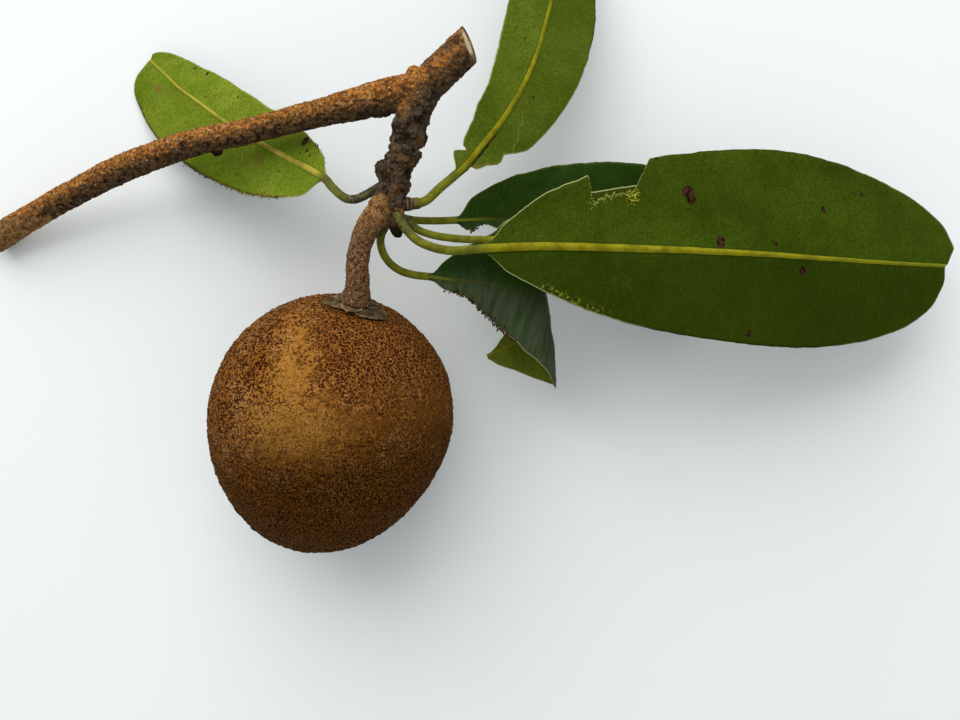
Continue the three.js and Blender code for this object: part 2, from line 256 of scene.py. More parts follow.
def smoothPath(points):
    # centripetal Catmull-Rom through the points, as a dense run of places
    perSpan = 40
    p = np.array(points, float)
    p = np.vstack([2 * p[0] - p[1], p, 2 * p[-1] - p[-2]])
    dense = []
    for a, b, c, d in zip(p[:-3], p[1:-2], p[2:-1], p[3:]):
        da, db, dc = (max(np.linalg.norm(v) ** 0.5, 1e-4) for v in (b - a, c - b, d - c))
        ta = ((b - a) / da - (c - a) / (da + db) + (c - b) / db) * db
        tb = ((c - b) / db - (d - b) / (db + dc) + (d - c) / dc) * db
        t = np.linspace(0, 1, perSpan, endpoint=False)[:, None]
        dense.append(b + ta * t + (-3 * b + 3 * c - 2 * ta - tb) * t ** 2
                     + (2 * b - 2 * c + ta + tb) * t ** 3)
    return np.vstack(dense + [p[-2]])


def pathLength(dense):
    return np.linalg.norm(np.diff(dense, axis=0), axis=1).sum()


def alongPath(points, stations):
    # centre, side, normal and tangent at each station from 0 to 1
    dense = smoothPath(points)
    steps = np.r_[0, np.cumsum(np.linalg.norm(np.diff(dense, axis=0), axis=1))]
    at = np.asarray(stations) * steps[-1]
    reach = 0.2      # mm ahead and behind, for the tangent
    centre, ahead, behind = (
        np.stack([np.interp(at + away, steps, dense[:, k]) for k in range(3)], 1)
        for away in (0, reach, -reach))
    tangent = ahead - behind
    tangent /= np.linalg.norm(tangent, axis=1)[:, None]
    normal = np.zeros_like(tangent)
    last = np.array((0, 0, 1.0))      # the normal starts out straight up
    for i, t in enumerate(tangent):
        last = last - t * (last @ t)
        last /= np.linalg.norm(last)
        normal[i] = last
    return centre, np.cross(normal, tangent), normal, tangent


def ringFaces(rows, around):
    # quads between rows of a closed ring, and a fan over each end
    faces = []
    for i in range(rows - 1):
        a, b = i * around, (i + 1) * around
        faces += [(a + j, a + (j + 1) % around, b + (j + 1) % around, b + j)
                  for j in range(around)]
    start, end = rows * around, rows * around + 1
    faces += [(start, (j + 1) % around, j) for j in range(around)]
    last = (rows - 1) * around
    faces += [(end, last + j, last + (j + 1) % around) for j in range(around)]
    return faces


def ringPoints(rings):
    # every ring's points, then the middle of the first and the last ring
    flat = rings.reshape(-1, rings.shape[-1])
    return np.vstack([flat, rings[0].mean(0), rings[-1].mean(0)])


def tubeRings(points, radii, around, rows):
    stations = np.linspace(0, 1, rows)
    centre, side, normal = alongPath(points, stations)[:3]
    radius = np.interp(stations, np.linspace(0, 1, len(radii)), radii)
    angle = np.linspace(0, 2 * math.pi, around, endpoint=False)
    return centre[:, None] + radius[:, None, None] * (
        side[:, None] * np.cos(angle)[None, :, None]
        + normal[:, None] * np.sin(angle)[None, :, None])


def fractal(points, scale, octaves, rough, seed):
    shift = Vector((seed, seed * 0.7, -seed))
    return np.array([noise.fractal(Vector(p) * scale + shift, rough, 2.0, octaves)
                     for p in points])


# The fruit. Its shape is the solid's, and its axis is +Y before it is laid down

fruitForm = {
    "halfWidth": 34.6, "topHeight": 37.5, "endHeight": 39, "restRadius": 8, "belly": 0.04,
    "lean": 14.5, "rise": 24, "pressed": (0.75, -0.66, 0), "pressedShare": 0.055,
    "facesPerSide": 130,
    # lumps and grit: how many in the fruit's radius, and mm high
    "lumpScale": 2.2, "lumpHeight": 0.2, "gritScale": 26, "gritHeight": 0.42, "gritFloor": -0.2,
    # where the skin is rubbed pale, and where it is dull on the right: metres and softness
    "rubbed": [((-0.0048, 0.0150, 0.062), (0.0058, 0.0135, 0.03), 0.7),
               ((-0.003, 0.001, 0.067), (0.0125, 0.0085, 0.03), 0.8)],
    "dull": ((0.020, 0.024, 0.050), (0.026, 0.027, 0.05), 0.5),
    # the skin is dark at its low end, partly its own dark brown and partly painted shade: measured
    # this way, it turns dark from metres to metres
    "paintedShadeFacing": (-0.22, 1, 0), "paintedShadeFrom": 0.013, "paintedShadeTo": -0.017,
    "plateScale": 960,      # scurf plates in a metre
    "colours": {
        "rubbed": (0.385, 0.182, 0.030, 1), "tan": (0.42, 0.19, 0.052, 1),
        "orange": (0.34, 0.125, 0.015, 1), "low": (0.094, 0.035, 0.002, 1),
        "scurf": (0.024, 0.004, 0.001, 1), "plate": (0.110, 0.032, 0.007, 1),
        "ash": (0.47, 0.27, 0.12, 1), "shadedLowScurf": (0.011, 0.002, 0.000, 1),
        "net": (0.33, 0.124, 0.020, 1), "softMark": (0.17, 0.062, 0.010, 1)},
}
fruitTurn = np.array(Matrix.Rotation(math.radians(-fruitForm["lean"]), 3, "Z")
                     @ Matrix.Rotation(math.radians(fruitForm["rise"]), 3, "X"))
fruitHigh = math.sqrt(fruitForm["halfWidth"] ** 2 - fruitForm["restRadius"] ** 2)


def fruitSkin(latitude, longitude, lift=0.0):
    form = fruitForm
    height = np.where(latitude > 0, form["topHeight"], form["endHeight"])
    belly = 1 + form["belly"] * np.sin(latitude) * np.cos(latitude) ** 2
    across = (form["halfWidth"] * belly + lift) * np.cos(latitude)
    skin = np.stack([across * np.cos(longitude), (height + lift) * np.sin(latitude),
                     across * np.sin(longitude)], -1)
    facing = skin / np.linalg.norm(skin, axis=-1, keepdims=True)
    pressed = np.array(form["pressed"]) / np.linalg.norm(form["pressed"])
    share = np.clip(facing @ pressed, 0, None) ** 4
    return skin * (1 - form["pressedShare"] * share)[..., None]


def layFruit(skin):
    return skin @ fruitTurn.T + np.array([0, 0, fruitHigh])


def makeFruitMaterial():
    form = fruitForm
    colours = form["colours"]
    material, tree, shader = newMaterial("scurfySkin")
    coords = coordsOf(tree)
    bent = shiftedCoords(tree, coords, 900, 0.0010)
    wobble = wobbleOf(tree, coords, 240, 0.8)
    ragged = plus(tree, wobble, wobbleOf(tree, coords, 900, 0.7))
    rubbed = largestOf(tree, [spotMask(tree, coords, middle, size, soft, ragged)
                              for middle, size, soft in form["rubbed"]])
    # the low end is painted darker, with darker scurf, partly its own colour and partly painted
    # shade
    spread = addNode(tree, "ShaderNodeVectorMath", {0: coords, 1: form["paintedShadeFacing"]},
                     out="Value", operation="DOT_PRODUCT")
    low = ramp(tree, plus(tree, spread, times(tree, wobble, 0.02)), form["paintedShadeFrom"],
               form["paintedShadeTo"])
    right = spotMask(tree, coords, *form["dull"], wobble)

    # plates of dark scurf with tan cracks between them, thinned out where it is rubbed
    density = timesPlus(tree, right, 0.60, 0.39)
    density = timesPlus(tree, rubbed, -0.40, density)
    density = plus(tree, density, wobbleOf(tree, coords, 420, 0.35))
    edge = cellsOf(tree, bent, form["plateScale"])
    kind = cellsOf(tree, bent, form["plateScale"], "F1", "Color")
    centre = cellsOf(tree, bent, form["plateScale"], "F1", "Distance")
    keep = ramp(tree, plus(tree, kind, density), 0.94, 1.02)
    plates = times(tree, ramp(tree, edge, 0.065, 0.135), keep)
    plates = times(tree, plates, timesPlus(tree, low, -0.8, 1.0))
    hollow = times(tree, ramp(tree, centre, 0.34, 0.16),
                   patchesOf(tree, coords, 600, 2, 0.55, 0.42, 0.56))

    # short dark streaks and finer grains, fewer where it is rubbed
    sparse = timesPlus(tree, rubbed, 0.080, timesPlus(
        tree, right, 0.09, timesPlus(tree, low, 0.05, 0.505)))
    streaks = minus(tree, noiseOf(tree, bent, 1600, 2, 0.5), sparse)
    streaks = ramp(tree, streaks, 0.0, 0.03)
    grains = minus(tree, noiseOf(tree, bent, 2700, 2, 0.5), timesPlus(
        tree, rubbed, 0.05, timesPlus(tree, low, -0.04, 0.53)))
    grains = times(tree, ramp(tree, grains, 0.0, 0.03), timesPlus(tree, right, -0.3, 0.9))
    scurf = largestOf(tree, [streaks, grains, plates])

    # tan and orange ground, paler where it is rubbed, with ashy flecks, and dark brown below,
    # partly the skin's own colour and partly painted shade
    warm = patchesOf(tree, coords, 110, 4, 0.55, 0.40, 0.60)
    base = blendOf(tree, warm, colours["orange"], colours["tan"])
    base = blendOf(tree, rubbed, base, colours["rubbed"])
    base = blendOf(tree, times(tree, right, 0.8), base, colours["net"])
    pale = patchesOf(tree, bent, 1900, 3, 0.6, 0.56, 0.67, 0, 0.5)
    pale = times(tree, pale, timesPlus(tree, right, -0.5, 1.0))
    base = blendOf(tree, pale, base, colours["ash"])
    base = blendOf(tree, times(tree, low, 0.85), base, blendOf(
        tree, times(tree, pale, 0.5), colours["low"], colours["tan"]))
    dark = blendOf(tree, hollow, colours["scurf"], colours["plate"])
    dark = blendOf(tree, low, dark, colours["shadedLowScurf"])
    dark = blendOf(tree, times(tree, rubbed, 0.55), dark, colours["softMark"])
    colour = blendOf(tree, times(tree, scurf, 0.95), base, dark)
    grain = bumpOf(tree, noiseOf(tree, coords, 2600, 3), 0.00012, 0.7)
    finishMaterial(tree, shader, colour, 0.75, 0.02, bumpOf(tree, scurf, 0.00016, 0.9, grain))
    return material


def makeFruit():
    form = fruitForm
    n = form["facesPerSide"]
    ball = bmesh.new()
    bmesh.ops.create_cube(ball, size=2)
    bmesh.ops.subdivide_edges(ball, edges=ball.edges[:], cuts=n - 1, use_grid_fill=True)
    points = np.array([v.co for v in ball.verts])
    faces = [[v.index for v in f.verts] for f in ball.faces]
    ball.free()
    points = np.tan(points * math.pi / 4)      # evens out the faces of the rounded cube
    points /= np.linalg.norm(points, axis=1)[:, None]
    latitude = np.arcsin(np.clip(points[:, 1], -1, 1))
    longitude = np.arctan2(points[:, 2], points[:, 0])
    lumps = fractal(points, form["lumpScale"], 3, 1.0, 3.0) * form["lumpHeight"]
    grit = np.maximum(fractal(points, form["gritScale"], 3, 0.7, 9.0), form["gritFloor"])
    skin = layFruit(fruitSkin(latitude, longitude))
    out = layFruit(fruitSkin(latitude, longitude, 1.0)) - skin
    skin = skin + out * (lumps + grit * form["gritHeight"])[:, None]
    skin[:, 2] = np.maximum(skin[:, 2], 0)
    piece = meshPiece("sapodilla_fruit", skin * mm, faces, [makeFruitMaterial()])
    place(piece, "fruit_skin", "fruit")


makeFruit()
print("fruit made")


# The calyx: dry papery lobes that overlap round the foot of the stalk

calyxForm = {
    # each lobe: degrees round the stalk, length, half width, lift of its tip, tone
    "lobes": [(16, 9.3, 5.0, 0.25, 0.15), (160, 8.4, 3.8, 0.25, 0.45), (94, 7.0, 2.7, 1.25, 1.0),
              (235, 7.6, 4.0, 0.2, 0.4), (302, 7.6, 4.0, 0.2, 0.3)],
    "rows": 30, "columns": 19, "thickness": 0.3, "lift": 0.35, "wrinkle": 0.3,
    "cup": {"rows": 10, "around": 40, "reach": 4.6, "height": 1.55, "fall": 1.2, "sunk": 0.05,
            "tone": 0.9},
    "colours": {
        "dark": (0.028, 0.017, 0.008, 1), "darkMottle": (0.115, 0.074, 0.034, 1),
        "pale": (0.085, 0.050, 0.020, 1), "paleMottle": (0.30, 0.20, 0.10, 1),
        "streak": (0.030, 0.018, 0.009, 1), "rim": (0.15, 0.11, 0.06, 1),
        "paleRim": (0.46, 0.33, 0.16, 1)},
}


def makeCalyxMaterial():
    colours = calyxForm["colours"]
    material, tree, shader = newMaterial("dryCalyx")
    coords = coordsOf(tree)
    tone = attributeOf(tree, "tone")
    rim = attributeOf(tree, "rim")
    mottle = patchesOf(tree, coords, 420, 5, 0.65, 0.36, 0.64)
    dark = blendOf(tree, mottle, colours["dark"], colours["darkMottle"])
    pale = blendOf(tree, mottle, colours["pale"], colours["paleMottle"])
    base = blendOf(tree, tone, dark, pale)
    streak = patchesOf(tree, coords, 1700, 4, 0.7, 0.42, 0.6, 0, 0.6)
    base = blendOf(tree, streak, base, colours["streak"])
    edge = times(tree, ramp(tree, rim, 0.80, 0.95),
                 patchesOf(tree, coords, 500, 3, 0.55, 0.36, 0.56, 0.1, 0.8))
    base = blendOf(tree, edge, base, blendOf(tree, tone, colours["rim"], colours["paleRim"]))
    finishMaterial(tree, shader, base, 0.85, 0.05,
                   bumpOf(tree, noiseOf(tree, coords, 1300, 5), 0.0003, 0.8))
    return material


def makeCalyx():
    form = calyxForm
    rows, columns = form["rows"], form["columns"]
    points, faces, tones, rims = [], [], [], []
    s = np.linspace(0, 1, rows)[:, None]
    q = np.linspace(-1, 1, columns)[None, :]
    for turn, long, half, tipLift, tone in form["lobes"]:
        width = half * (0.6 + 0.5 * np.sin(math.pi * s ** 0.8)) * np.sqrt(1 - s ** 4) + 0.02
        along = 0.6 + s * long - 0.3 * q ** 2
        across = width * q
        wrinkle = np.array([[noise.noise(Vector((a * 0.9, b * 1.6, turn))) for a, b in zip(*pair)]
                            for pair in zip(along, across)])
        reach = np.hypot(along, across)
        longitude = math.radians(turn) + np.arctan2(across, along)
        lift = form["lift"] + tipLift * s ** 2 + 0.2 * q ** 2 + form["wrinkle"] * wrinkle
        latitude = math.pi / 2 - reach / fruitForm["halfWidth"]
        top = layFruit(fruitSkin(latitude, longitude, lift + form["thickness"]))
        under = layFruit(fruitSkin(latitude, longitude, lift))
        rim = np.maximum(np.abs(q) + 0 * s, s ** 3 + 0 * q)
        base = len(points)
        points += ringPoints(np.concatenate([top, under[:, ::-1]], 1)).tolist()
        faces += [tuple(base + k for k in f) for f in ringFaces(rows, 2 * columns)]
        rims += ringPoints(np.concatenate([rim, rim[:, ::-1]], 1)[..., None])[:, 0].tolist()
        tones += [tone] * (len(points) - base)
    # the cup in the middle, where the lobes and the stalk grow together
    cup = form["cup"]
    latitude = math.pi / 2 - np.linspace(0.001, cup["reach"], cup["rows"]) / fruitForm["halfWidth"]
    longitude = np.linspace(0, 2 * math.pi, cup["around"], endpoint=False)
    dome = cup["height"] - cup["fall"] * np.linspace(0, 1, cup["rows"]) ** 2
    shell = [layFruit(fruitSkin(np.full(cup["around"], a), longitude, h))
             for a, h in zip(np.r_[latitude, latitude[-1]], np.r_[dome, cup["sunk"]])]
    base = len(points)
    points += ringPoints(np.array(shell)).tolist()
    faces += [tuple(base + k for k in f) for f in ringFaces(len(shell), cup["around"])]
    tones += [cup["tone"]] * (len(points) - base)
    rims += [0.0] * (len(points) - base)
    piece = meshPiece("dry_calyx", np.array(points) * mm, faces, [makeCalyxMaterial()])
    addValues(piece.data, "tone", tones)
    addValues(piece.data, "rim", rims)
    fixNormals(piece)
    place(piece, "dry_calyx", "calyx")


makeCalyx()
print("calyx made")


# Wood and stalk

woodForm = {
    "branch": [
        (-112.1, 55.9, 4.15), (-94.7, 64.5, 9), (-80.4, 70.5, 14), (-66.4, 75.9, 18.6),
        (-52.6, 79.5, 24), (-39.1, 82.1, 29.5), (-26.2, 83.3, 34.5), (-13.7, 85.1, 39.5),
        (-1.7, 86.8, 44), (9.9, 88.6, 47.6), (19.7, 90.3, 50), (27, 92, 51),
        (33.8, 97.6, 51.5), (43.8, 107.4, 51.5)],
    "branchRadii": [4.25, 4, 3.95, 4.2, 4, 3.65, 3.6, 3.8, 4.8, 4.9, 4.8],
    "spur": [
        (27.6, 91.3, 51), (25, 85.3, 51), (23.1, 79.1, 51), (21.6, 73.7, 51),
        (19.5, 68.2, 51), (18.7, 62.8, 50.8), (19.2, 58, 50.4), (20, 54.5, 50),
        (20.5, 51.4, 49.6)],
    "spurRadii": [4.8, 4.7, 4.6, 3.9, 4.2, 4, 4.1, 2.8, 1.1],
    "knobs": [
        ((16.7, 69.6, 51.5), 2.6), ((24.6, 73.3, 51.5), 2.1), ((26.8, 77.6, 51), 1.9),
        ((24.8, 95.9, 51), 2.0), ((-34, 79.3, 29.6), 1.7), ((-43, 82, 31.5), 1.9)],
    "stalkRoot": [(11.6, 52.2, 51.7), (12.7, 54.3, 51.8), (16, 58.9, 51.4), (18.4, 62, 51),
                  (20.4, 67, 51)],
    "stalkRootRadii": [2.7, 3.5, 3.8, 4.0, 3.8],
    "cutAt": (39.6, 104, 51.5), "cutFacing": (0.9, 0.32, 0.27),
    "cutRim": 0.7, "cutSink": 0.25, "lowCutIn": 0.25, "smoothNearCut": 3,
    "tubeRows": 140, "tubeAround": 28, "voxel": 0.4,
    # mm of relief on the branch, and what the spur adds to it
    "lumps": (0.16, 0.42), "plates": (0.26, 0.24), "grit": (0.26, 0.16), "ringScars": 0.14,
    # zones of bark, by their limits: axis, where it starts, mm over which it comes in
    "spurZone": [(0, 8, 8), (1, 92, -12), (1, 56, 4)], "rootZone": [(1, 64.5, -4), (0, 19.5, -3)],
    # the junction zones mark the spur's end under the petioles, painted grey and black as shade
    "stubZone": [(0, 22, 6)], "shadedJunctionZone": [(1, 57, -3), (0, 17, 2)], "blackJunctionZone": [(1, 56, -2)],
    "blackKnob": (-34, 78.3, 29.6), "blackReach": 2.6,
    "colours": {
        "orange": (0.44, 0.168, 0.028, 1), "brown": (0.150, 0.052, 0.009, 1),
        "grey": (0.125, 0.072, 0.030, 1), "shadow": (0.022, 0.009, 0.003, 1),
        "spurDark": (0.014, 0.008, 0.003, 1), "spurPale": (0.085, 0.060, 0.036, 1),
        "spurWarm": (0.125, 0.062, 0.022, 1), "spurGrey": (0.24, 0.20, 0.145, 1),
        "fleck": (0.72, 0.48, 0.24, 1), "crack": (0.010, 0.005, 0.002, 1),
        "cutPale": (0.95, 0.80, 0.44, 1), "cutStreak": (0.42, 0.28, 0.12, 1),
        "cutEdge": (0.075, 0.038, 0.018, 1)},
}

grainColours = {      # of the stalk and of the wood that it grows from
    "dark": (0.070, 0.030, 0.012, 1), "pale": (0.215, 0.108, 0.044, 1),
    "highDark": (0.135, 0.056, 0.014, 1), "highPale": (0.37, 0.185, 0.055, 1),
    "fleck": (0.42, 0.27, 0.155, 1), "pit": (0.030, 0.013, 0.006, 1),
}


def stalkColours(tree, coords):
    # granular bark: tan grains and dark pits, brighter towards the spur
    base = blendOf(tree, patchesOf(tree, coords, 900, 4, 0.6, 0.36, 0.62),
                   grainColours["dark"], grainColours["pale"])
    high = ramp(tree, addNode(tree, "ShaderNodeSeparateXYZ", {0: coords}, out="Y"), 0.049, 0.058)
    bright = blendOf(tree, patchesOf(tree, coords, 700, 4, 0.6, 0.36, 0.62),
                     grainColours["highDark"], grainColours["highPale"])
    base = blendOf(tree, high, base, bright)
    flecks = patchesOf(tree, coords, 1900, 3, 0.55, 0.55, 0.64, 0, 0.8)
    base = blendOf(tree, flecks, base, grainColours["fleck"])
    pits = patchesOf(tree, shiftedCoords(tree, coords, 500, 0.001), 1900, 3, 0.6,
                     0.46, 0.38, 0, 0.8)
    base = blendOf(tree, pits, base, grainColours["pit"])
    return base, minus(tree, flecks, pits)


def makeBarkMaterial():
    colours = woodForm["colours"]
    material, tree, shader = newMaterial("bark")
    coords = coordsOf(tree)
    grey = attributeOf(tree, "greyShare")
    root = attributeOf(tree, "rootShare")
    blackBudAndShade = attributeOf(tree, "blackBudAndShadeShare")

    # the branch: orange on top and towards +Y, grey brown towards -Y, partly the bark's own colours
    # and partly painted light on the +Y side and painted shade on the -Y side
    facing = addNode(tree, "ShaderNodeSeparateXYZ", {0: addNode(
        tree, "ShaderNodeNewGeometry", out="Normal")}, out="Y")
    sunny = ramp(tree, plus(tree, facing, wobbleOf(tree, coords, 300, 0.5)), -0.6, 0.25)
    orange = blendOf(tree, patchesOf(tree, coords, 900, 4, 0.6, 0.40, 0.60),
                     colours["brown"], colours["orange"])
    underside = blendOf(tree, patchesOf(tree, coords, 700, 4, 0.6, 0.38, 0.62),
                        colours["shadow"], colours["grey"])
    base = blendOf(tree, sunny, underside, orange)

    # the spur: dark and grey, with warm patches
    rough = blendOf(tree, patchesOf(tree, coords, 420, 5, 0.65, 0.40, 0.62),
                    colours["spurDark"], colours["spurPale"])
    warm = patchesOf(tree, shiftedCoords(tree, coords, 90, 0.01), 170, 4, 0.6, 0.48, 0.60, 0, 0.7)
    rough = blendOf(tree, warm, rough, colours["spurWarm"])
    rough = blendOf(tree, patchesOf(tree, coords, 1200, 3, 0.6, 0.60, 0.68, 0, 0.45), rough,
                    colours["spurGrey"])
    base = blendOf(tree, ramp(tree, plus(tree, grey, wobbleOf(tree, coords, 260, 0.4)),
                              0.35, 0.75), base, rough)

    # pale flecks, some of them squeezed to dashes, and dark cracks
    squeezed = addNode(tree, "ShaderNodeMapping", {
        0: coords, 2: (0, 0, -0.35), 3: (0.45, 1, 1)}, vector_type="TEXTURE")
    fine = largestOf(tree, [patchesOf(tree, squeezed, 900, 3, 0.6, 0.60, 0.64, 0, 0.8),
                            patchesOf(tree, coords, 1700, 2, 0.6, 0.63, 0.67, 0, 0.9)])
    # the pale flecks fade towards -Y with the painted shade there
    fine = times(tree, fine, timesPlus(tree, sunny, 0.85, 0.15))
    fine = times(tree, fine, timesPlus(tree, grey, -0.8, 1.0))
    base = blendOf(tree, fine, base, colours["fleck"])
    crack = ramp(tree, cellsOf(tree, shiftedCoords(tree, coords, 700, 0.0022), 640),
                 0.07, 0.01, 0, 0.75)
    crack = times(tree, crack, patchesOf(tree, coords, 260, 3, 0.55, 0.42, 0.58))
    base = blendOf(tree, crack, base, colours["crack"])

    # the foot where the stalk grows out is as granular as the stalk, buds on the branch are black,
    # and the junction under the petioles is painted black as shade
    grains, grainHeight = stalkColours(tree, coords)
    joined = ramp(tree, plus(tree, root, wobbleOf(tree, coords, 350, 0.5)), 0.3, 0.7)
    base = blendOf(tree, joined, base, grains)
    base = blendOf(tree, times(tree, blackBudAndShade, 0.85), base, colours["crack"])
    lumps = bumpOf(tree, noiseOf(tree, coords, 1400, 5, 0.65), 0.0004, 0.9)
    relief = plus(tree, minus(tree, fine, crack), times(tree, grainHeight, joined))
    finishMaterial(tree, shader, base, 0.88, 0.08, bumpOf(tree, relief, 0.00025, 0.8, lumps))
    return material


def makeCutWoodMaterial():
    colours = woodForm["colours"]
    material, tree, shader = newMaterial("cutWood")
    coords = coordsOf(tree)
    streak = patchesOf(tree, coords, 900, 5, 0.7, 0.35, 0.65)
    colour = blendOf(tree, streak, colours["cutPale"], colours["cutStreak"])
    ragged = plus(tree, wobbleOf(tree, coords, 300, 0.5), wobbleOf(tree, coords, 1100, 0.5))
    pale = [spotMask(tree, coords, tuple(mm * v for v in at), (0.0034, 0.0034, 0.0034), 0.2, ragged)
            for at in (woodForm["cutAt"], woodForm["branch"][0])]
    colour = blendOf(tree, largestOf(tree, pale), colours["cutEdge"], colour)
    finishMaterial(tree, shader, colour, 0.8, 0.5, bumpOf(tree, streak, 0.0002, 0.6))
    return material


def sawOff(work, at, facing):
    # cuts the wood at a plane and leaves a rim of bark round the pale cut face
    cut = bmesh.ops.bisect_plane(
        work, geom=work.verts[:] + work.edges[:] + work.faces[:], plane_co=Vector(at) * mm,
        plane_no=Vector(facing).normalized(), clear_outer=True, dist=1e-7)
    ring = [e for e in cut["geom_cut"] if isinstance(e, bmesh.types.BMEdge)]
    filled = bmesh.ops.contextual_create(work, geom=ring)["faces"]
    for face in filled:
        face.material_index = 0
    bmesh.ops.inset_region(work, faces=filled, thickness=woodForm["cutRim"] * mm,
                           depth=-woodForm["cutSink"] * mm, use_even_offset=False)
    for face in filled:
        face.material_index = 1


def zoneShare(skin, zone):
    share = 1.0
    for axis, start, run in zone:
        share = share * np.clip((skin[:, axis] - start) / run, 0, 1)
    return share


def makeWoodBlank():
    # branch, spur, stalk root and knobs, grown together into one smooth skin
    form = woodForm
    points, faces = [], []

    def addShape(shape, shapeFaces):
        base = len(points)
        points.extend(np.asarray(shape).tolist())
        faces.extend(tuple(base + k for k in f) for f in shapeFaces)

    for part in ("branch", "spur", "stalkRoot"):
        rings = tubeRings(form[part], form[part + "Radii"], form["tubeAround"], form["tubeRows"])
        addShape(ringPoints(rings), ringFaces(form["tubeRows"], form["tubeAround"]))
    unit, unitFaces = unitBall(3)
    for middle, radius in form["knobs"]:
        addShape(unit * radius * (1, 1, 0.9) + np.array(middle), unitFaces)
    blank = meshPiece("sprig_wood", np.array(points) * mm, faces, [])
    remesh = blank.modifiers.new("join", "REMESH")
    remesh.mode = "VOXEL"
    remesh.voxel_size = form["voxel"] * mm
    smooth = blank.modifiers.new("soften", "SMOOTH")
    smooth.factor, smooth.iterations = 0.5, 6
    solid = bpy.data.meshes.new_from_object(
        blank.evaluated_get(bpy.context.evaluated_depsgraph_get()))
    bpy.data.objects.remove(blank)
    return solid


def makeWood():
    form = woodForm
    solid = makeWoodBlank()
    count = len(solid.vertices)
    skin, normals = np.zeros(count * 3), np.zeros(count * 3)
    solid.vertices.foreach_get("co", skin)
    solid.vertices.foreach_get("normal", normals)
    skin, normals = skin.reshape(-1, 3) / mm, normals.reshape(-1, 3)

    # relief, less of it close to the upper cut
    spurShare = zoneShare(skin, form["spurZone"])
    lumps = fractal(skin, 0.28, 3, 0.9, 2.0)
    plates = np.array([noise.voronoi(Vector(p) * 0.55)[0][0] for p in skin]) - 0.5
    grit = fractal(skin, 1.3, 3, 0.7, 5.0)
    amount = np.sin(skin[:, 1] * 1.7 + 3 * lumps) * spurShare * form["ringScars"]
    for relief, key in ((lumps, "lumps"), (plates, "plates"), (grit, "grit")):
        amount = amount + relief * (form[key][0] + form[key][1] * spurShare)
    fromCut = np.abs((skin - np.array(form["cutAt"]))
                     @ np.array(Vector(form["cutFacing"]).normalized()))
    amount = amount * np.minimum(fromCut / form["smoothNearCut"], 1)
    moved = skin + normals * amount[:, None]
    moved[:, 2] = np.maximum(moved[:, 2], 0.0)
    solid.vertices.foreach_set("co", (moved * mm).ravel())

    # where the bark turns grey, black or granular; the grey and black at the junction under the
    # petioles are painted shade
    shadedJunction = zoneShare(skin, form["shadedJunctionZone"])
    grey = spurShare + 0.9 * shadedJunction + 0.55 * zoneShare(skin, form["stubZone"])
    blackKnob = form["blackReach"] - np.linalg.norm(skin - np.array(form["blackKnob"]), axis=1)
    blackBudAndShade = shadedJunction * zoneShare(skin, form["blackJunctionZone"]) + np.clip(blackKnob, 0, 1)
    addValues(solid, "greyShare", np.clip(grey, 0, 1))
    addValues(solid, "blackBudAndShadeShare", np.clip(blackBudAndShade, 0, 1))
    addValues(solid, "rootShare", zoneShare(skin, form["rootZone"]))
    solid.materials.append(makeBarkMaterial())
    solid.materials.append(makeCutWoodMaterial())

    work = bmesh.new()
    work.from_mesh(solid)
    sawOff(work, form["cutAt"], form["cutFacing"])
    first, second = np.array(form["branch"][0]), np.array(form["branch"][1])
    inward = (second - first) / np.linalg.norm(second - first)
    sawOff(work, first + form["lowCutIn"] * inward, -inward)
    for face in work.faces:
        face.smooth = face.material_index == 0
    work.to_mesh(solid)
    work.free()
    piece = bpy.data.objects.new("sprig_wood", solid)
    bpy.context.scene.collection.objects.link(piece)
    place(piece, "bark", "wood")


makeWood()
print("wood made")


stalkForm = {
    "path": [(9.6, 38, 50.8), (9.6, 43.9, 51.6), (10.5, 49.2, 51.5), (12.7, 54.3, 51.8),
             (16, 58.9, 51.4), (18.4, 62, 51)],
    "radii": [4.3, 3.35, 3.1, 3.05, 3.05, 3.2, 3.4, 3.4, 3.2],
    "around": 96, "rows": 190, "grit": 0.16, "lumps": 0.16, "footLift": 0.9,
}


def makeStalkMaterial():
    material, tree, shader = newMaterial("stalkBark")
    base, height = stalkColours(tree, coordsOf(tree))
    finishMaterial(tree, shader, base, 0.85, 0.08, bumpOf(tree, height, 0.00035, 0.8))
    return material


def makeStalk():
    form = stalkForm
    foot = layFruit(fruitSkin(np.array([math.pi / 2]), np.array([0.0]), form["footLift"]))[0]
    path = [tuple(foot)] + form["path"]
    rings = tubeRings(path, form["radii"], form["around"], form["rows"])
    flat = rings.reshape(-1, 3)
    out = rings - rings.mean(1, keepdims=True)
    out /= np.linalg.norm(out, axis=2, keepdims=True)
    bumps = (fractal(flat, 1.5, 3, 0.7, 4.0) * form["grit"]
             + fractal(flat, 0.35, 2, 0.8, 8.0) * form["lumps"])
    rings = rings + out * bumps.reshape(rings.shape[:2])[..., None]
    piece = meshPiece("fruit_stalk_bark", ringPoints(rings) * mm,
                      ringFaces(form["rows"], form["around"]), [makeStalkMaterial()])
    fixNormals(piece)
    place(piece, "stalk_bark", "fruit_stalk")


makeStalk()
print("stalk made")


# Leaves, in mm. Paths and widths are the solids' own, and the tables of base widths are added
# here, as places along the blade and widths. Left and right are seen along the midrib from
# the petiole. A place on a sheet is mm along the blade and mm to the left of the midrib.

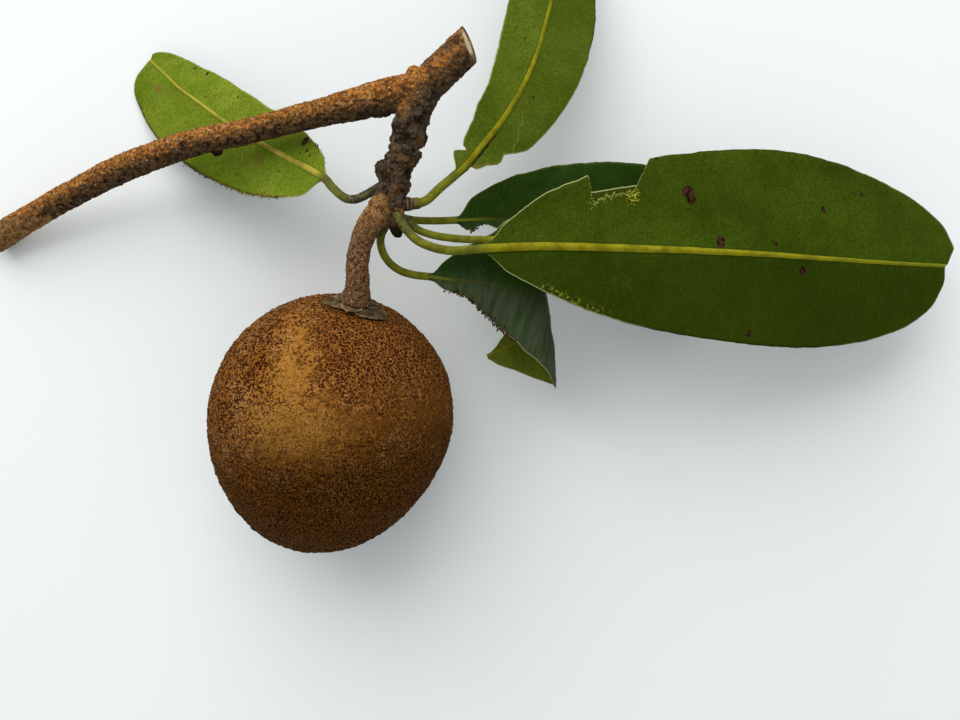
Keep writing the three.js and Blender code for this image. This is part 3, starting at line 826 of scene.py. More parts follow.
leafCommon = {
    # the sheet: "left" and "right" are half width, how fast it opens and how fast it closes
    "underUp": True, "rows": 210, "columns": 31, "thickness": 0.42, "edgeThin": 0.55,
    "roll": 0, "cup": 6, "waves": 2, "waveHeight": 1.0, "waveShift": 1.5,
    "ripple": 0.35, "fineRipple": 0.05, "edgeWobble": 0.3, "baseWobble": 0.35,
    "tipLobe": (0.4, 0.4), "lobeRun": 14, "leftBase": None, "rightBase": None,
    "bite": None, "biteWobble": 1.6,
    # the midrib and the petiole; "early" is how far the blade starts down the petiole
    "ribRadius": 1.25, "ribEnd": 0.35, "ridgeEnd": 0.38, "ribShare": 0.22,
    "stemRows": 44, "stemRun": 0.045, "stemRadius": 1.25, "footRadius": 1.25,
    "footShare": 0.3, "ringDepth": 0.02, "early": 0,
    # marks: spots and tan spots are a place and a radius, scars run from one place along
    # the blade to another at one side and half width, and a scratch is a run of places
    "spots": [], "tanSpots": [], "scars": [], "scratch": [],
    # dry edges: from one share of the length to another, and how far in the yellow reaches;
    # the pale margin fades out at "marginEnd" and comes back faintly towards the tip
    "brownEdge": None, "yellowEdge": None, "marginEnd": 0.5,
    # crumbs: from and to as shares of the length, then of the half width, which is negative
    # on the right, how many, radius, and 0 for a brown crumb or 1 for a yellow fibre
    "crumbs": [],
    # how much painted shade darkens the underside's right half, and how much a painted grey sheen
    # dulls the upper side's
    "lowerShade": 0.55, "paintedSheen": 0.25, "veins": 0.3, "veinGap": 2.3,
    # colours of the underside, the upper side, the petiole and the marks
    "light": (0.052, 0.084, 0.004, 1), "dark": (0.033, 0.055, 0.002, 1),
    "dryPatch": (0.11, 0.105, 0.012, 1), "speck": (0.045, 0.025, 0.006, 1),
    "margin": (0.40, 0.40, 0.17, 1),
    "rib": (0.28, 0.255, 0.010, 1), "ribTip": (0.16, 0.17, 0.010, 1),
    "upper": (0.008, 0.025, 0.001, 1), "upperLight": (0.017, 0.046, 0.003, 1),
    "upperVein": (0.085, 0.15, 0.03, 1), "upperRib": (0.050, 0.058, 0.008, 1),
    "sheenGrey": (0.082, 0.095, 0.056, 1), "edgePale": (0.10, 0.10, 0.03, 1),
    "petiole": (0.175, 0.180, 0.010, 1), "petioleSpeck": (0.075, 0.048, 0.018, 1),
    "footDark": (0.045, 0.045, 0.012, 1), "footPale": (0.125, 0.120, 0.030, 1),
    "rotDark": (0.006, 0.002, 0.001, 1), "rotPale": (0.055, 0.020, 0.012, 1),
    "tanSpot": (0.20, 0.125, 0.030, 1), "scratched": (0.22, 0.19, 0.045, 1),
    "yellow": (0.19, 0.18, 0.02, 1), "brown": (0.085, 0.045, 0.010, 1),
    "crumbDark": (0.010, 0.005, 0.002, 1), "crumbPale": (0.10, 0.052, 0.020, 1),
    "fibreDark": (0.16, 0.16, 0.01, 1), "fibrePale": (0.50, 0.47, 0.05, 1),
}

# "path" is the petiole and then the midrib. The curled leaf's path is its petiole alone:
# "flat" is its midrib on a flat sheet, and "bend" rolls the sheet's end under.
leaves = {
    "leaf_left": {
        "stemPoints": 7, "roll": 6, "cup": 5, "waveHeight": 0.9, "left": (18, 0.45, 0.25),
        "right": (10.8, 0.42, 0.4), "tipLobe": (2.6, 0.5), "lobeRun": 9, "ribRadius": 0.85,
        "stemRadius": 1.2, "footShare": 0.62, "brownEdge": (0.12, 0.95), "lowerShade": 0.0,
        # the underside's colours are its own yellow green, lifted a little as painted light against
        # the branch's shadow
        "light": (0.215, 0.275, 0.022, 1), "dark": (0.13, 0.195, 0.01, 1),
        "rib": (0.42, 0.36, 0.05, 1), "ribTip": (0.36, 0.33, 0.03, 1),
        "petiole": (0.15, 0.15, 0.022, 1), "footDark": (0.04, 0.035, 0.014, 1),
        "footPale": (0.125, 0.108, 0.05, 1),
        "spots": [(13.6, -6.6, 1.5), (63, -8.6, 0.7), (10.6, -4.4, 0.5), (8.6, -3.4, 0.4),
                  (12.6, -3, 0.3), (46, -8.2, 0.4), (55, 11, 0.5)],
        "tanSpots": [(76.3, 5, 1.5), (18.6, 12.2, 1.1), (27, 4.5, 1.4), (44, 3, 1.2)],
        "crumbs": [(0.14, 0.7, 0.99, 1.0, 70, 0.19, 0), (0.02, 0.12, -1.0, -0.985, 20, 0.18, 0)],
        "path": [(18.3, 67.1, 49.5), (14.4, 64.9, 48.6), (11.9, 63.5, 48.2), (8.8, 62.3, 47.5),
                 (5.9, 62.6, 46.6), (2.1, 65.7, 45), (-0.7, 68.9, 43), (-11.7, 75.8, 35),
                 (-23.6, 83, 27), (-34.7, 90.5, 20), (-43.2, 97, 15), (-50.7, 102.8, 10.5),
                 (-56.4, 108.2, 7), (-61.7, 113.2, 4)],
    },
    "leaf_top": {
        "stemPoints": 5, "rows": 300, "left": (12.4, 0.7, 0.36), "right": (15.7, 0.62, 0.5),
        "early": 2.5, "ribRadius": 0.78, "footRadius": 2.1, "footShare": 0.34, "ringDepth": 0.07,
        "yellowEdge": (0.0, 0.15, 1.1), "lowerShade": 0.3,
        "light": (0.12, 0.165, 0.015, 1), "dark": (0.075, 0.115, 0.006, 1),
        "footDark": (0.03, 0.014, 0.007, 1), "footPale": (0.15, 0.092, 0.048, 1),
        "leftBase": [(0, 1.2), (0.9, 3.6), (2.2, 5.2), (3.8, 5.3), (5.2, 4.3), (6.3, 3),
                     (6.8, 2.6), (7.2, 4.2), (9.5, 5.2), (14, 6.4), (20, 8.2), (28, 9.8)],
        "rightBase": [(0, 1.2), (3.8, 1.4), (4.4, 3.1), (7, 4.6), (9.5, 6.9), (11, 7.2),
                      (12.2, 6.9), (13.2, 6.6), (14.4, 7.2), (16.2, 7.9), (20, 10.6)],
        "spots": [(32.6, -4.2, 0.45), (14, -8.4, 0.35)],
        "tanSpots": [(4.4, -3.0, 1.3), (7.5, -4.6, 0.8)],
        "scars": [(2, 17, -1.25, 0.3)],
        "scratch": [(15.0, -8.6), (17.6, -7.0), (19.6, -6.9), (22.2, -5.1), (24.0, -5.4),
                    (27.4, -3.4)],
        "path": [(19.5, 60.5, 50.5), (24.3, 60.5, 50.5), (27.8, 61.3, 50), (31.9, 65.2, 48.5),
                 (38.4, 71.4, 46), (43.4, 78, 43.5), (48.6, 85, 41), (53.9, 93.9, 38),
                 (58.5, 104.6, 34.5), (61.4, 114.7, 31), (63.7, 124.1, 27.5), (67, 141.7, 20.5),
                 (70.1, 158, 13)],
    },
    "leaf_large": {
        "stemPoints": 6, "rows": 330, "columns": 39, "cup": 8, "waveHeight": 1.3,
        "edgeWobble": 0.2, "left": (31.3, 0.6, 0.38), "right": (25.5, 0.66, 0.42),
        "tipLobe": (5.6, -0.6), "lobeRun": 8,
        "bite": {"from": 0.209, "to": 0.342, "depth": 8.6, "slant": 0.036}, "ribRadius": 1.15,
        "ribEnd": 0.55, "stemRadius": 1.2, "marginEnd": 0.3, "yellowEdge": (0.105, 0.245, 3.0),
        "lowerShade": 0.75,
        "leftBase": [(0, 1.3), (2.7, 3.2), (6.6, 6.6), (9.3, 8.6), (12.6, 11.2), (18, 15),
                     (22.6, 17.3), (26.6, 18.9), (28.6, 19.8), (38, 24.4)],
        "spots": [(58.4, 17.2, 2.2), (59.2, 15.2, 1.7), (66.9, 3.0, 1.7), (83.6, 3.3, 0.8),
                  (92, -3.9, 1.3), (75.7, -22.2, 1.1), (100.4, 14.7, 1.0), (114.6, 20.6, 0.7),
                  (49.8, 28.6, 2.0)],
        "crumbs": [(0.286, 0.312, 0.8, 0.98, 120, 0.2, 1), (0.214, 0.3, 0.95, 1.0, 110, 0.13, 1),
                   (0.207, 0.212, 0.62, 0.96, 50, 0.11, 1)],
        "path": [(20.2, 57.4, 52.5), (22.7, 53.5, 54), (26, 50.1, 55), (30.4, 48.1, 55.5),
                 (35.3, 47.3, 55), (43.3, 47.9, 54.3), (58.9, 48.6, 53.3), (75.2, 48.5, 51.6),
                 (91.9, 48.3, 49), (107.7, 48, 46), (125.4, 47.5, 42), (142.5, 46.9, 37),
                 (162.1, 46.3, 31), (180.8, 46.1, 24.5)],
    },
    "leaf_hidden": {
        "stemPoints": 6, "rows": 220, "left": (19.6, 0.68, 0.4), "right": (17.3, 0.6, 0.4),
        "ribRadius": 1.1, "stemRadius": 1.05, "footRadius": 1.15,
        "leftBase": [(0, 1.3), (2.7, 3.0), (7, 5.9), (10, 7.6), (13, 8.8)],
        "path": [(20.4, 58, 48.6), (23.4, 55.6, 48.6), (26.1, 53.6, 48.6), (29.9, 52.3, 48.3),
                 (35.9, 51.4, 48), (43.9, 51.1, 47.3), (65, 51.1, 44.5), (87.9, 50.8, 40),
                 (112, 50.1, 33.5), (137.7, 49.2, 25.5), (158.9, 48.5, 18)],
    },
    "leaf_back": {
        "stemPoints": 4, "underUp": False, "cup": -7, "waveHeight": 0.8, "edgeWobble": 0.35,
        "left": (18.3, 0.62, 0.5), "right": (15, 1.3, 0.5), "ribRadius": 1.0, "stemRadius": 1.05,
        "footRadius": 1.15, "upper": (0.012, 0.034, 0.002, 1),
        "upperLight": (0.026, 0.06, 0.005, 1),
        "rightBase": [(0, 1.1), (0.8, 2.6), (2.6, 4), (3.6, 2.8), (4.6, 3.6), (6, 1.9), (9, 1.5),
                      (12, 3)],
        "crumbs": [(0.005, 0.09, -1.0, -0.985, 26, 0.28, 0)],
        "path": [(19.5, 58, 45), (23.4, 57.1, 44.3), (28.8, 57, 42.5), (36.3, 57.6, 39.5),
                 (44.5, 58.4, 36.5), (54.4, 58.8, 33), (72.4, 58.9, 26), (91.4, 58.8, 18),
                 (111.7, 58.5, 7.6), (125.6, 58.1, 0.4)],
    },
    "leaf_curled": {
        "underUp": False, "rows": 260, "cup": 0, "waveHeight": 0.7, "edgeWobble": 0.4,
        "left": (14.4, 0.8, 1.2), "right": (21.4, 2.1, 1.05), "ribRadius": 1.0,
        "stemRadius": 1.1, "paintedSheen": 1.0, "veins": 0.2,
        # the underside is painted much lighter than the other leaves', as painted light on the
        # rolled-under end that lies in the shade of the blade above it
        "light": (0.19, 0.225, 0.022, 1), "dark": (0.115, 0.145, 0.012, 1),
        "edgePale": (0.33, 0.33, 0.15, 1),
        "rightBase": [(0, 1.1), (4.3, 3), (10.1, 4.3), (14.6, 7.2), (22.4, 11.1), (27.5, 12.9),
                      (36.3, 16.1), (41, 18.4), (47.1, 20.4), (49.6, 19.8), (52.5, 16.7),
                      (56, 12.8), (58.6, 9.6), (61.4, 6.6), (64.2, 3.8), (66.5, 0.6)],
        "crumbs": [(0.07, 0.44, -1.0, -0.985, 120, 0.3, 0),
                   (0.14, 0.42, -0.985, -0.9, 60, 0.16, 0)],
        "path": [(18.9, 57.6, 48), (16.7, 55, 46.3), (15.3, 51.8, 45.5), (15.8, 48.1, 44.6),
                 (17.7, 45.1, 43.5), (20.7, 43, 42.2), (24.4, 42, 41), (28.7, 41.6, 40)],
        "flat": [(0, 0), (7.8, 2), (16.8, 4.1), (25.8, 8.1), (38.1, 14.5), (50.5, 20.6),
                 (61.7, 24.1)],
        "bend": {"start": 25.5, "radius": 8, "turn": 192, "slope": 5,
                 "toBend": (0.992, 0.127, 0), "along": (0.127, -0.992, 0)},
    },
}


def uvOf(tree, layer):
    # "sheet" is metres along the blade and from its midrib, "share" is the share of its
    # length and metres from its edge
    uv = addNode(tree, "ShaderNodeUVMap", uv_map=layer)
    return uv, addNode(tree, "ShaderNodeSeparateXYZ", {0: uv}, out="X"), addNode(
        tree, "ShaderNodeSeparateXYZ", {0: uv}, out="Y")


def veinLines(tree, along, across, coords, gap, width):
    # side veins that leave the midrib almost square to it and lean to the tip
    sideways = mathOf(tree, "ABSOLUTE", across)
    run = timesPlus(tree, sideways, -0.34, along)
    run = plus(tree, run, wobbleOf(tree, coords, 70, 0.0022))
    wave = mathOf(tree, "PINGPONG", mathOf(tree, "DIVIDE", run, gap * mm), 0.5)
    lines = ramp(tree, wave, 0.5 - width, 0.5)
    return times(tree, lines, patchesOf(tree, coords, 160, 3, 0.55, 0.35, 0.6))


def segmentMask(tree, uv, start, end, halfWidth):
    # 1 on the straight line from start to end, 0 away from it
    long = float(np.linalg.norm(end - start))
    run = (end - start) / long
    away = addNode(tree, "ShaderNodeVectorMath", {0: uv, 1: (start[0], start[1], 0)},
                   operation="SUBTRACT")
    ahead = addNode(tree, "ShaderNodeVectorMath", {0: away, 1: (run[0], run[1], 0)}, out="Value",
                    operation="DOT_PRODUCT")
    aside = addNode(tree, "ShaderNodeVectorMath", {0: away, 1: (-run[1], run[0], 0)}, out="Value",
                    operation="DOT_PRODUCT")
    beyond = minus(tree, mathOf(tree, "ABSOLUTE", minus(tree, ahead, long / 2)), long / 2)
    away = mathOf(tree, "MAXIMUM", mathOf(tree, "ABSOLUTE", aside), beyond)
    return ramp(tree, away, 1.5 * halfWidth, 0.5 * halfWidth)      # a soft edge


def shade(colour, amount):
    # the same colour, darker or lighter
    return tuple(c * amount for c in colour[:3]) + (1,)


def zoneMask(tree, lengthwise, first, last, fadeIn, fadeOut):
    # 1 from one share of the blade's length to another
    return times(tree, ramp(tree, lengthwise, first - fadeIn, first + fadeIn),
                 ramp(tree, lengthwise, last + fadeOut, last - fadeOut))


def ribMask(tree, lengthwise, across, leaf):
    # the midrib narrows from the petiole to the tip
    radius = ramp(tree, lengthwise, 0.0, 1.0, leaf["ribRadius"] * mm, leaf["ribEnd"] * mm)
    return minus(tree, 1.0, ramp(
        tree, mathOf(tree, "DIVIDE", mathOf(tree, "ABSOLUTE", across), radius), 0.85, 1.15))


def brownMarks(tree, base, coords, uv, leaf):
    # rot spots and dried scars, each wobbled at its edge
    ragged = wobbleOf(tree, coords, 500, 0.55)
    masks = [spotMask(tree, uv, (u * mm, v * mm, 0), (radius * 0.8 * mm, radius * mm, 1), 0.16,
                      ragged) for u, v, radius in leaf["spots"]]
    masks += [spotMask(tree, uv, ((start + end) / 2 * mm, v * mm, 0),
                       ((end - start) / 2 * mm, half * mm, 1), 0.4, ragged)
              for start, end, v, half in leaf["scars"]]
    if not masks:
        return base
    rot = blendOf(tree, patchesOf(tree, coords, 900, 3, 0.55, 0.4, 0.6),
                  leaf["rotDark"], leaf["rotPale"])
    base = blendOf(tree, times(tree, largestOf(tree, masks), 0.95), base, rot)
    for u, v, radius in leaf["tanSpots"]:
        mask = spotMask(tree, uv, (u * mm, v * mm, 0), (radius * mm, radius * mm, 1), 0.5, ragged)
        base = blendOf(tree, times(tree, mask, 0.75), base, leaf["tanSpot"])
    return base


def makeUndersideMaterial(name, leaf):
    material, tree, shader = newMaterial(name + "Under")
    coords = coordsOf(tree)
    uv, along, across = uvOf(tree, "sheet")
    _, lengthwise, edge = uvOf(tree, "share")

    # mottled green, darker on the right half as painted shade, with fine grain, veins and dry
    # patches
    base = blendOf(tree, patchesOf(tree, coords, 55, 5, 0.6, 0.32, 0.68),
                   leaf["dark"], leaf["light"])
    rightHalfShade = ramp(tree, plus(tree, across, wobbleOf(tree, coords, 60, 0.004)),
                 0.002, -0.004, 0, leaf["lowerShade"])
    base = blendOf(tree, rightHalfShade, base, shade(leaf["dark"], 0.72))
    fineNoise = noiseOf(tree, coords, 1500, 3, 0.6)
    base = blendOf(tree, ramp(tree, fineNoise, 0.40, 0.64, 0, 0.55), base,
                   shade(leaf["dark"], 0.5))
    veins = veinLines(tree, along, across, coords, leaf["veinGap"], 0.13)
    base = blendOf(tree, times(tree, veins, 0.08), base, shade(leaf["light"], 1.8))
    dry = patchesOf(tree, shiftedCoords(tree, coords, 60, 0.01), 40, 4, 0.6, 0.60, 0.72, 0, 0.4)
    base = blendOf(tree, dry, base, leaf["dryPatch"])
    specks = patchesOf(tree, coords, 520, 2, 0.4, 0.735, 0.76, 0, 0.8)
    base = blendOf(tree, specks, base, leaf["speck"])

    # rot, scars and a scratch
    base = brownMarks(tree, base, coords, uv, leaf)
    for start, end in zip(leaf["scratch"], leaf["scratch"][1:]):
        line = segmentMask(tree, uv, np.array(start) * mm, np.array(end) * mm, 0.14 * mm)
        line = times(tree, line, patchesOf(tree, coords, 900, 2, 0.55, 0.40, 0.52, 0.15, 0.8))
        base = blendOf(tree, line, base, leaf["scratched"])

    # dry edges: yellow on the right, brown on the left, and a thin pale margin
    if leaf["yellowEdge"]:
        first, last, reach = leaf["yellowEdge"]
        zone = times(tree, zoneMask(tree, lengthwise, first, last, 0.02, 0.03),
                     ramp(tree, edge, reach * mm, 0.3 * reach * mm))
        zone = times(tree, zone, ramp(tree, across, 0.0, -0.001))
        grains = patchesOf(tree, coords, 1300, 4, 0.6, 0.53, 0.60)
        base = blendOf(tree, times(tree, zone, grains), base, leaf["yellow"])
    if leaf["brownEdge"]:
        first, last = leaf["brownEdge"]
        ragged = plus(tree, edge, wobbleOf(tree, coords, 700, 0.0009))
        zone = times(tree, zoneMask(tree, lengthwise, first, last, 0.04, 0.03),
                     ramp(tree, ragged, 1.0 * mm, 0.3 * mm))
        zone = times(tree, zone, ramp(tree, across, 0.0, 0.001, 0, 0.85))
        base = blendOf(tree, zone, base, leaf["brown"])
    rim = ramp(tree, edge, 0.34 * mm, 0.12 * mm)
    wavy = plus(tree, lengthwise, wobbleOf(tree, coords, 90, 0.12))
    margin = largestOf(tree, [
        times(tree, rim, ramp(tree, wavy, leaf["marginEnd"] + 0.1, leaf["marginEnd"] - 0.1,
                              0.0, 0.9)),
        times(tree, rim, ramp(tree, lengthwise, 0.70, 0.85, 0, 0.45))])
    base = blendOf(tree, margin, base, leaf["margin"])

    # the midrib, and painted shade as a dark seam on both sides of it
    rib = ribMask(tree, lengthwise, across, leaf)
    stained = patchesOf(tree, coords, 230, 4, 0.6, 0.40, 0.64)
    ribColour = blendOf(tree, stained, leaf["rib"], shade(leaf["rib"], 0.62))
    ribColour = blendOf(tree, ramp(tree, lengthwise, 0.4, 1.0, 0, 0.75), ribColour, leaf["ribTip"])
    ribColour = blendOf(tree, ramp(tree, lengthwise, 0.04, 0.0), ribColour, leaf["petiole"])
    base = blendOf(tree, rib, base, ribColour)
    ribSideShade = times(tree, ribMask(tree, lengthwise, times(tree, across, 0.72), leaf),
                 minus(tree, 1.0, rib))
    base = blendOf(tree, times(tree, ribSideShade, 0.6), base, shade(leaf["dark"], 0.5))
    skin = bumpOf(tree, fineNoise, 0.00006, 0.6)
    finishMaterial(tree, shader, base, 0.6, 0.015, bumpOf(tree, veins, 0.00010, 0.5, skin))
    return material


def makeUpperMaterial(name, leaf):
    material, tree, shader = newMaterial(name + "Upper")
    coords = coordsOf(tree)
    uv, along, across = uvOf(tree, "sheet")
    _, lengthwise, edge = uvOf(tree, "share")
    base = blendOf(tree, patchesOf(tree, coords, 60, 4, 0.55, 0.3, 0.7),
                   leaf["upper"], leaf["upperLight"])
    veins = veinLines(tree, along, across, coords, 0.66 * leaf["veinGap"], 0.12)
    base = blendOf(tree, times(tree, veins, leaf["veins"]), base, leaf["upperVein"])
    # a painted grey sheen over the right half, streaked along the side veins
    streaks = addNode(tree, "ShaderNodeVectorMath", {0: uv, 1: (1, 0.12, 1)}, operation="MULTIPLY")
    paintedSheen = patchesOf(tree, streaks, 620, 5, 0.65, 0.38, 0.64, 0.3, 1)
    paintedSheen = times(tree, paintedSheen, ramp(tree, plus(tree, across, wobbleOf(tree, coords, 120, 0.003)),
                                  0.004, -0.003, 0.06, 1))
    base = blendOf(tree, times(tree, paintedSheen, 0.75 * leaf["paintedSheen"]), base, leaf["sheenGrey"])
    rib = ribMask(tree, lengthwise, times(tree, across, 2.6), leaf)
    ribColour = blendOf(tree, ramp(tree, lengthwise, 0.14, 0.0), leaf["upperRib"], leaf["petiole"])
    base = blendOf(tree, times(tree, rib, 0.9), base, ribColour)
    base = blendOf(tree, ramp(tree, edge, 0.36 * mm, 0.14 * mm, 0, 0.7), base, leaf["edgePale"])
    finishMaterial(tree, shader, base, 0.45, 0.04, bumpOf(tree, veins, 0.0001, 0.6))
    return material


def makePetioleMaterial(name, leaf):
    # green, with a brown foot that is faintly ringed
    material, tree, shader = newMaterial(name + "Petiole")
    coords = coordsOf(tree)
    along = uvOf(tree, "sheet")[1]
    green = blendOf(tree, patchesOf(tree, coords, 350, 4, 0.55, 0.34, 0.66),
                    leaf["petiole"], shade(leaf["petiole"], 0.6))
    ringWave = 6400      # radians of the rings' wave in a metre of petiole
    rings = mathOf(tree, "SINE", timesPlus(tree, along, ringWave,
                                           wobbleOf(tree, coords, 260, 1.2)))
    ringed = plus(tree, times(tree, rings, 1.7 * leaf["ringDepth"]), noiseOf(tree, coords, 900, 4))
    brown = blendOf(tree, ramp(tree, ringed, 0.38, 0.66), leaf["footDark"], leaf["footPale"])
    foot = ramp(tree, plus(tree, along, wobbleOf(tree, coords, 400, 0.003)),
                (leaf["brownEnd"] + 1) * mm, (leaf["brownEnd"] - 3.5) * mm)
    base = blendOf(tree, foot, green, brown)
    specks = patchesOf(tree, coords, 1500, 3, 0.55, 0.58, 0.68, 0, 0.6)
    base = blendOf(tree, specks, base, leaf["petioleSpeck"])
    finishMaterial(tree, shader, base, 0.5, 0.08,
                   bumpOf(tree, noiseOf(tree, coords, 1600, 4), 0.00015, 0.7))
    return material


def sideWidth(side, s):
    half, opening, closing = side
    widest = opening / (opening + closing)
    return half * (s / widest) ** opening * ((1 - s) / (1 - widest)) ** closing


def biteDepth(bite, s, wobble):
    # the bite's depth along the blade, its far end slanted
    steep = 0.006      # the share of the length over which its near end drops
    into = np.clip((s - bite["from"]) / steep, 0, 1)
    outOf = np.clip((bite["to"] - s) / bite["slant"], 0, 1)
    return (bite["depth"] + wobble) * np.minimum(into, outOf)


def rolledPlace(bend, base, p, q, out):
    # a place on the flat sheet, p along it, q across it and out of it, once it is bent round
    # a cylinder under its end
    turn = np.clip((p - bend["start"]) / bend["radius"], 0, math.radians(bend["turn"]))
    past = np.clip(p - bend["start"] - bend["radius"] * math.radians(bend["turn"]), 0, None)
    run = (np.minimum(p, bend["start"]) + bend["radius"] * np.sin(turn) + past * np.cos(turn)
           + out * np.sin(turn))
    rise = out * np.cos(turn) - bend["radius"] * (1 - np.cos(turn)) - past * np.sin(turn)
    lean = math.radians(bend["slope"])
    return (np.array(base) + (run * math.cos(lean) + rise * math.sin(lean))[..., None]
            * np.array(bend["toBend"]) + q[..., None] * np.array(bend["along"])
            + (rise * math.cos(lean) - run * math.sin(lean))[..., None] * np.array((0, 0, 1)))


def makeCrumbMaterial(name, dark, pale):
    material, tree, shader = newMaterial(name)
    coords = coordsOf(tree)
    colour = blendOf(tree, patchesOf(tree, coords, 1300, 2, 0.55, 0.42, 0.58), dark, pale)
    finishMaterial(tree, shader, colour, 0.9, 0.03)
    return material


crumbSlot = 3      # brown crumbs use this material slot and yellow fibres the next


def makeCrumbs(leaf, rings, q, s, stemRows):
    # small lumps and fibres of dry leaf, stuck along an eaten edge or on the blade
    chance = np.random.default_rng(len(leaf["path"]))
    unit, unitFaces = unitBall(1)
    points, faces, slots = np.zeros((0, 3)), [], []
    for first, last, inner, outer, count, size, kind in leaf["crumbs"]:
        for _ in range(count):
            row = stemRows + np.searchsorted(s[stemRows:], chance.uniform(first, last))
            column = int(np.argmin(np.abs(q - chance.uniform(inner, outer))))
            at = rings[row, column] + chance.normal(0, 0.25, 3)
            radii = size * chance.uniform(0.5, 1.5, 3) * (1, 1 + 1.5 * chance.random() ** 3, 0.7)
            turn = np.array(Quaternion(Vector(chance.normal(0, 1, 3)).normalized(),
                                       chance.uniform(0, math.pi)).to_matrix())
            faces += [tuple(len(points) + k for k in face) for face in unitFaces]
            points = np.vstack([points, at + (unit * radii) @ turn.T])
            slots += [crumbSlot + kind] * len(unitFaces)
    return points, faces, slots


def leafWidths(leaf, name, s, bladeLength):
    # left and right half widths, with a slightly uneven edge and the bite
    edgeNoise = [np.array([noise.fractal(Vector((x * 0.16, k * 9.0, len(name))), 0.8, 2, 5)
                           for x in s * bladeLength]) for k in (1, 2)]
    widths = []
    for side, wobble in zip(("left", "right"), edgeNoise):
        drawnTo = leaf[side + "Base"]
        width = sideWidth(leaf[side], s) + leaf["edgeWobble"] * wobble * np.clip(8 * s, 0, 1)
        if drawnTo:
            drawn = np.interp(s * bladeLength, *zip(*drawnTo)) + leaf["baseWobble"] * wobble
            # the drawn base gives way to the formula over its last 30%
            formula = np.clip((s * bladeLength / drawnTo[-1][0] - 0.7) / 0.3, 0, 1)
            width = drawn + (width - drawn) * (0 if "flat" in leaf else formula)
        widths.append(width)
    if leaf["bite"]:
        ragged = np.array([noise.fractal(Vector((x * 1.4, 3, 1)), 0.7, 2, 4)
                           for x in s * bladeLength])
        widths[0] = widths[0] - biteDepth(leaf["bite"], s, leaf["biteWobble"] * ragged)
    return widths


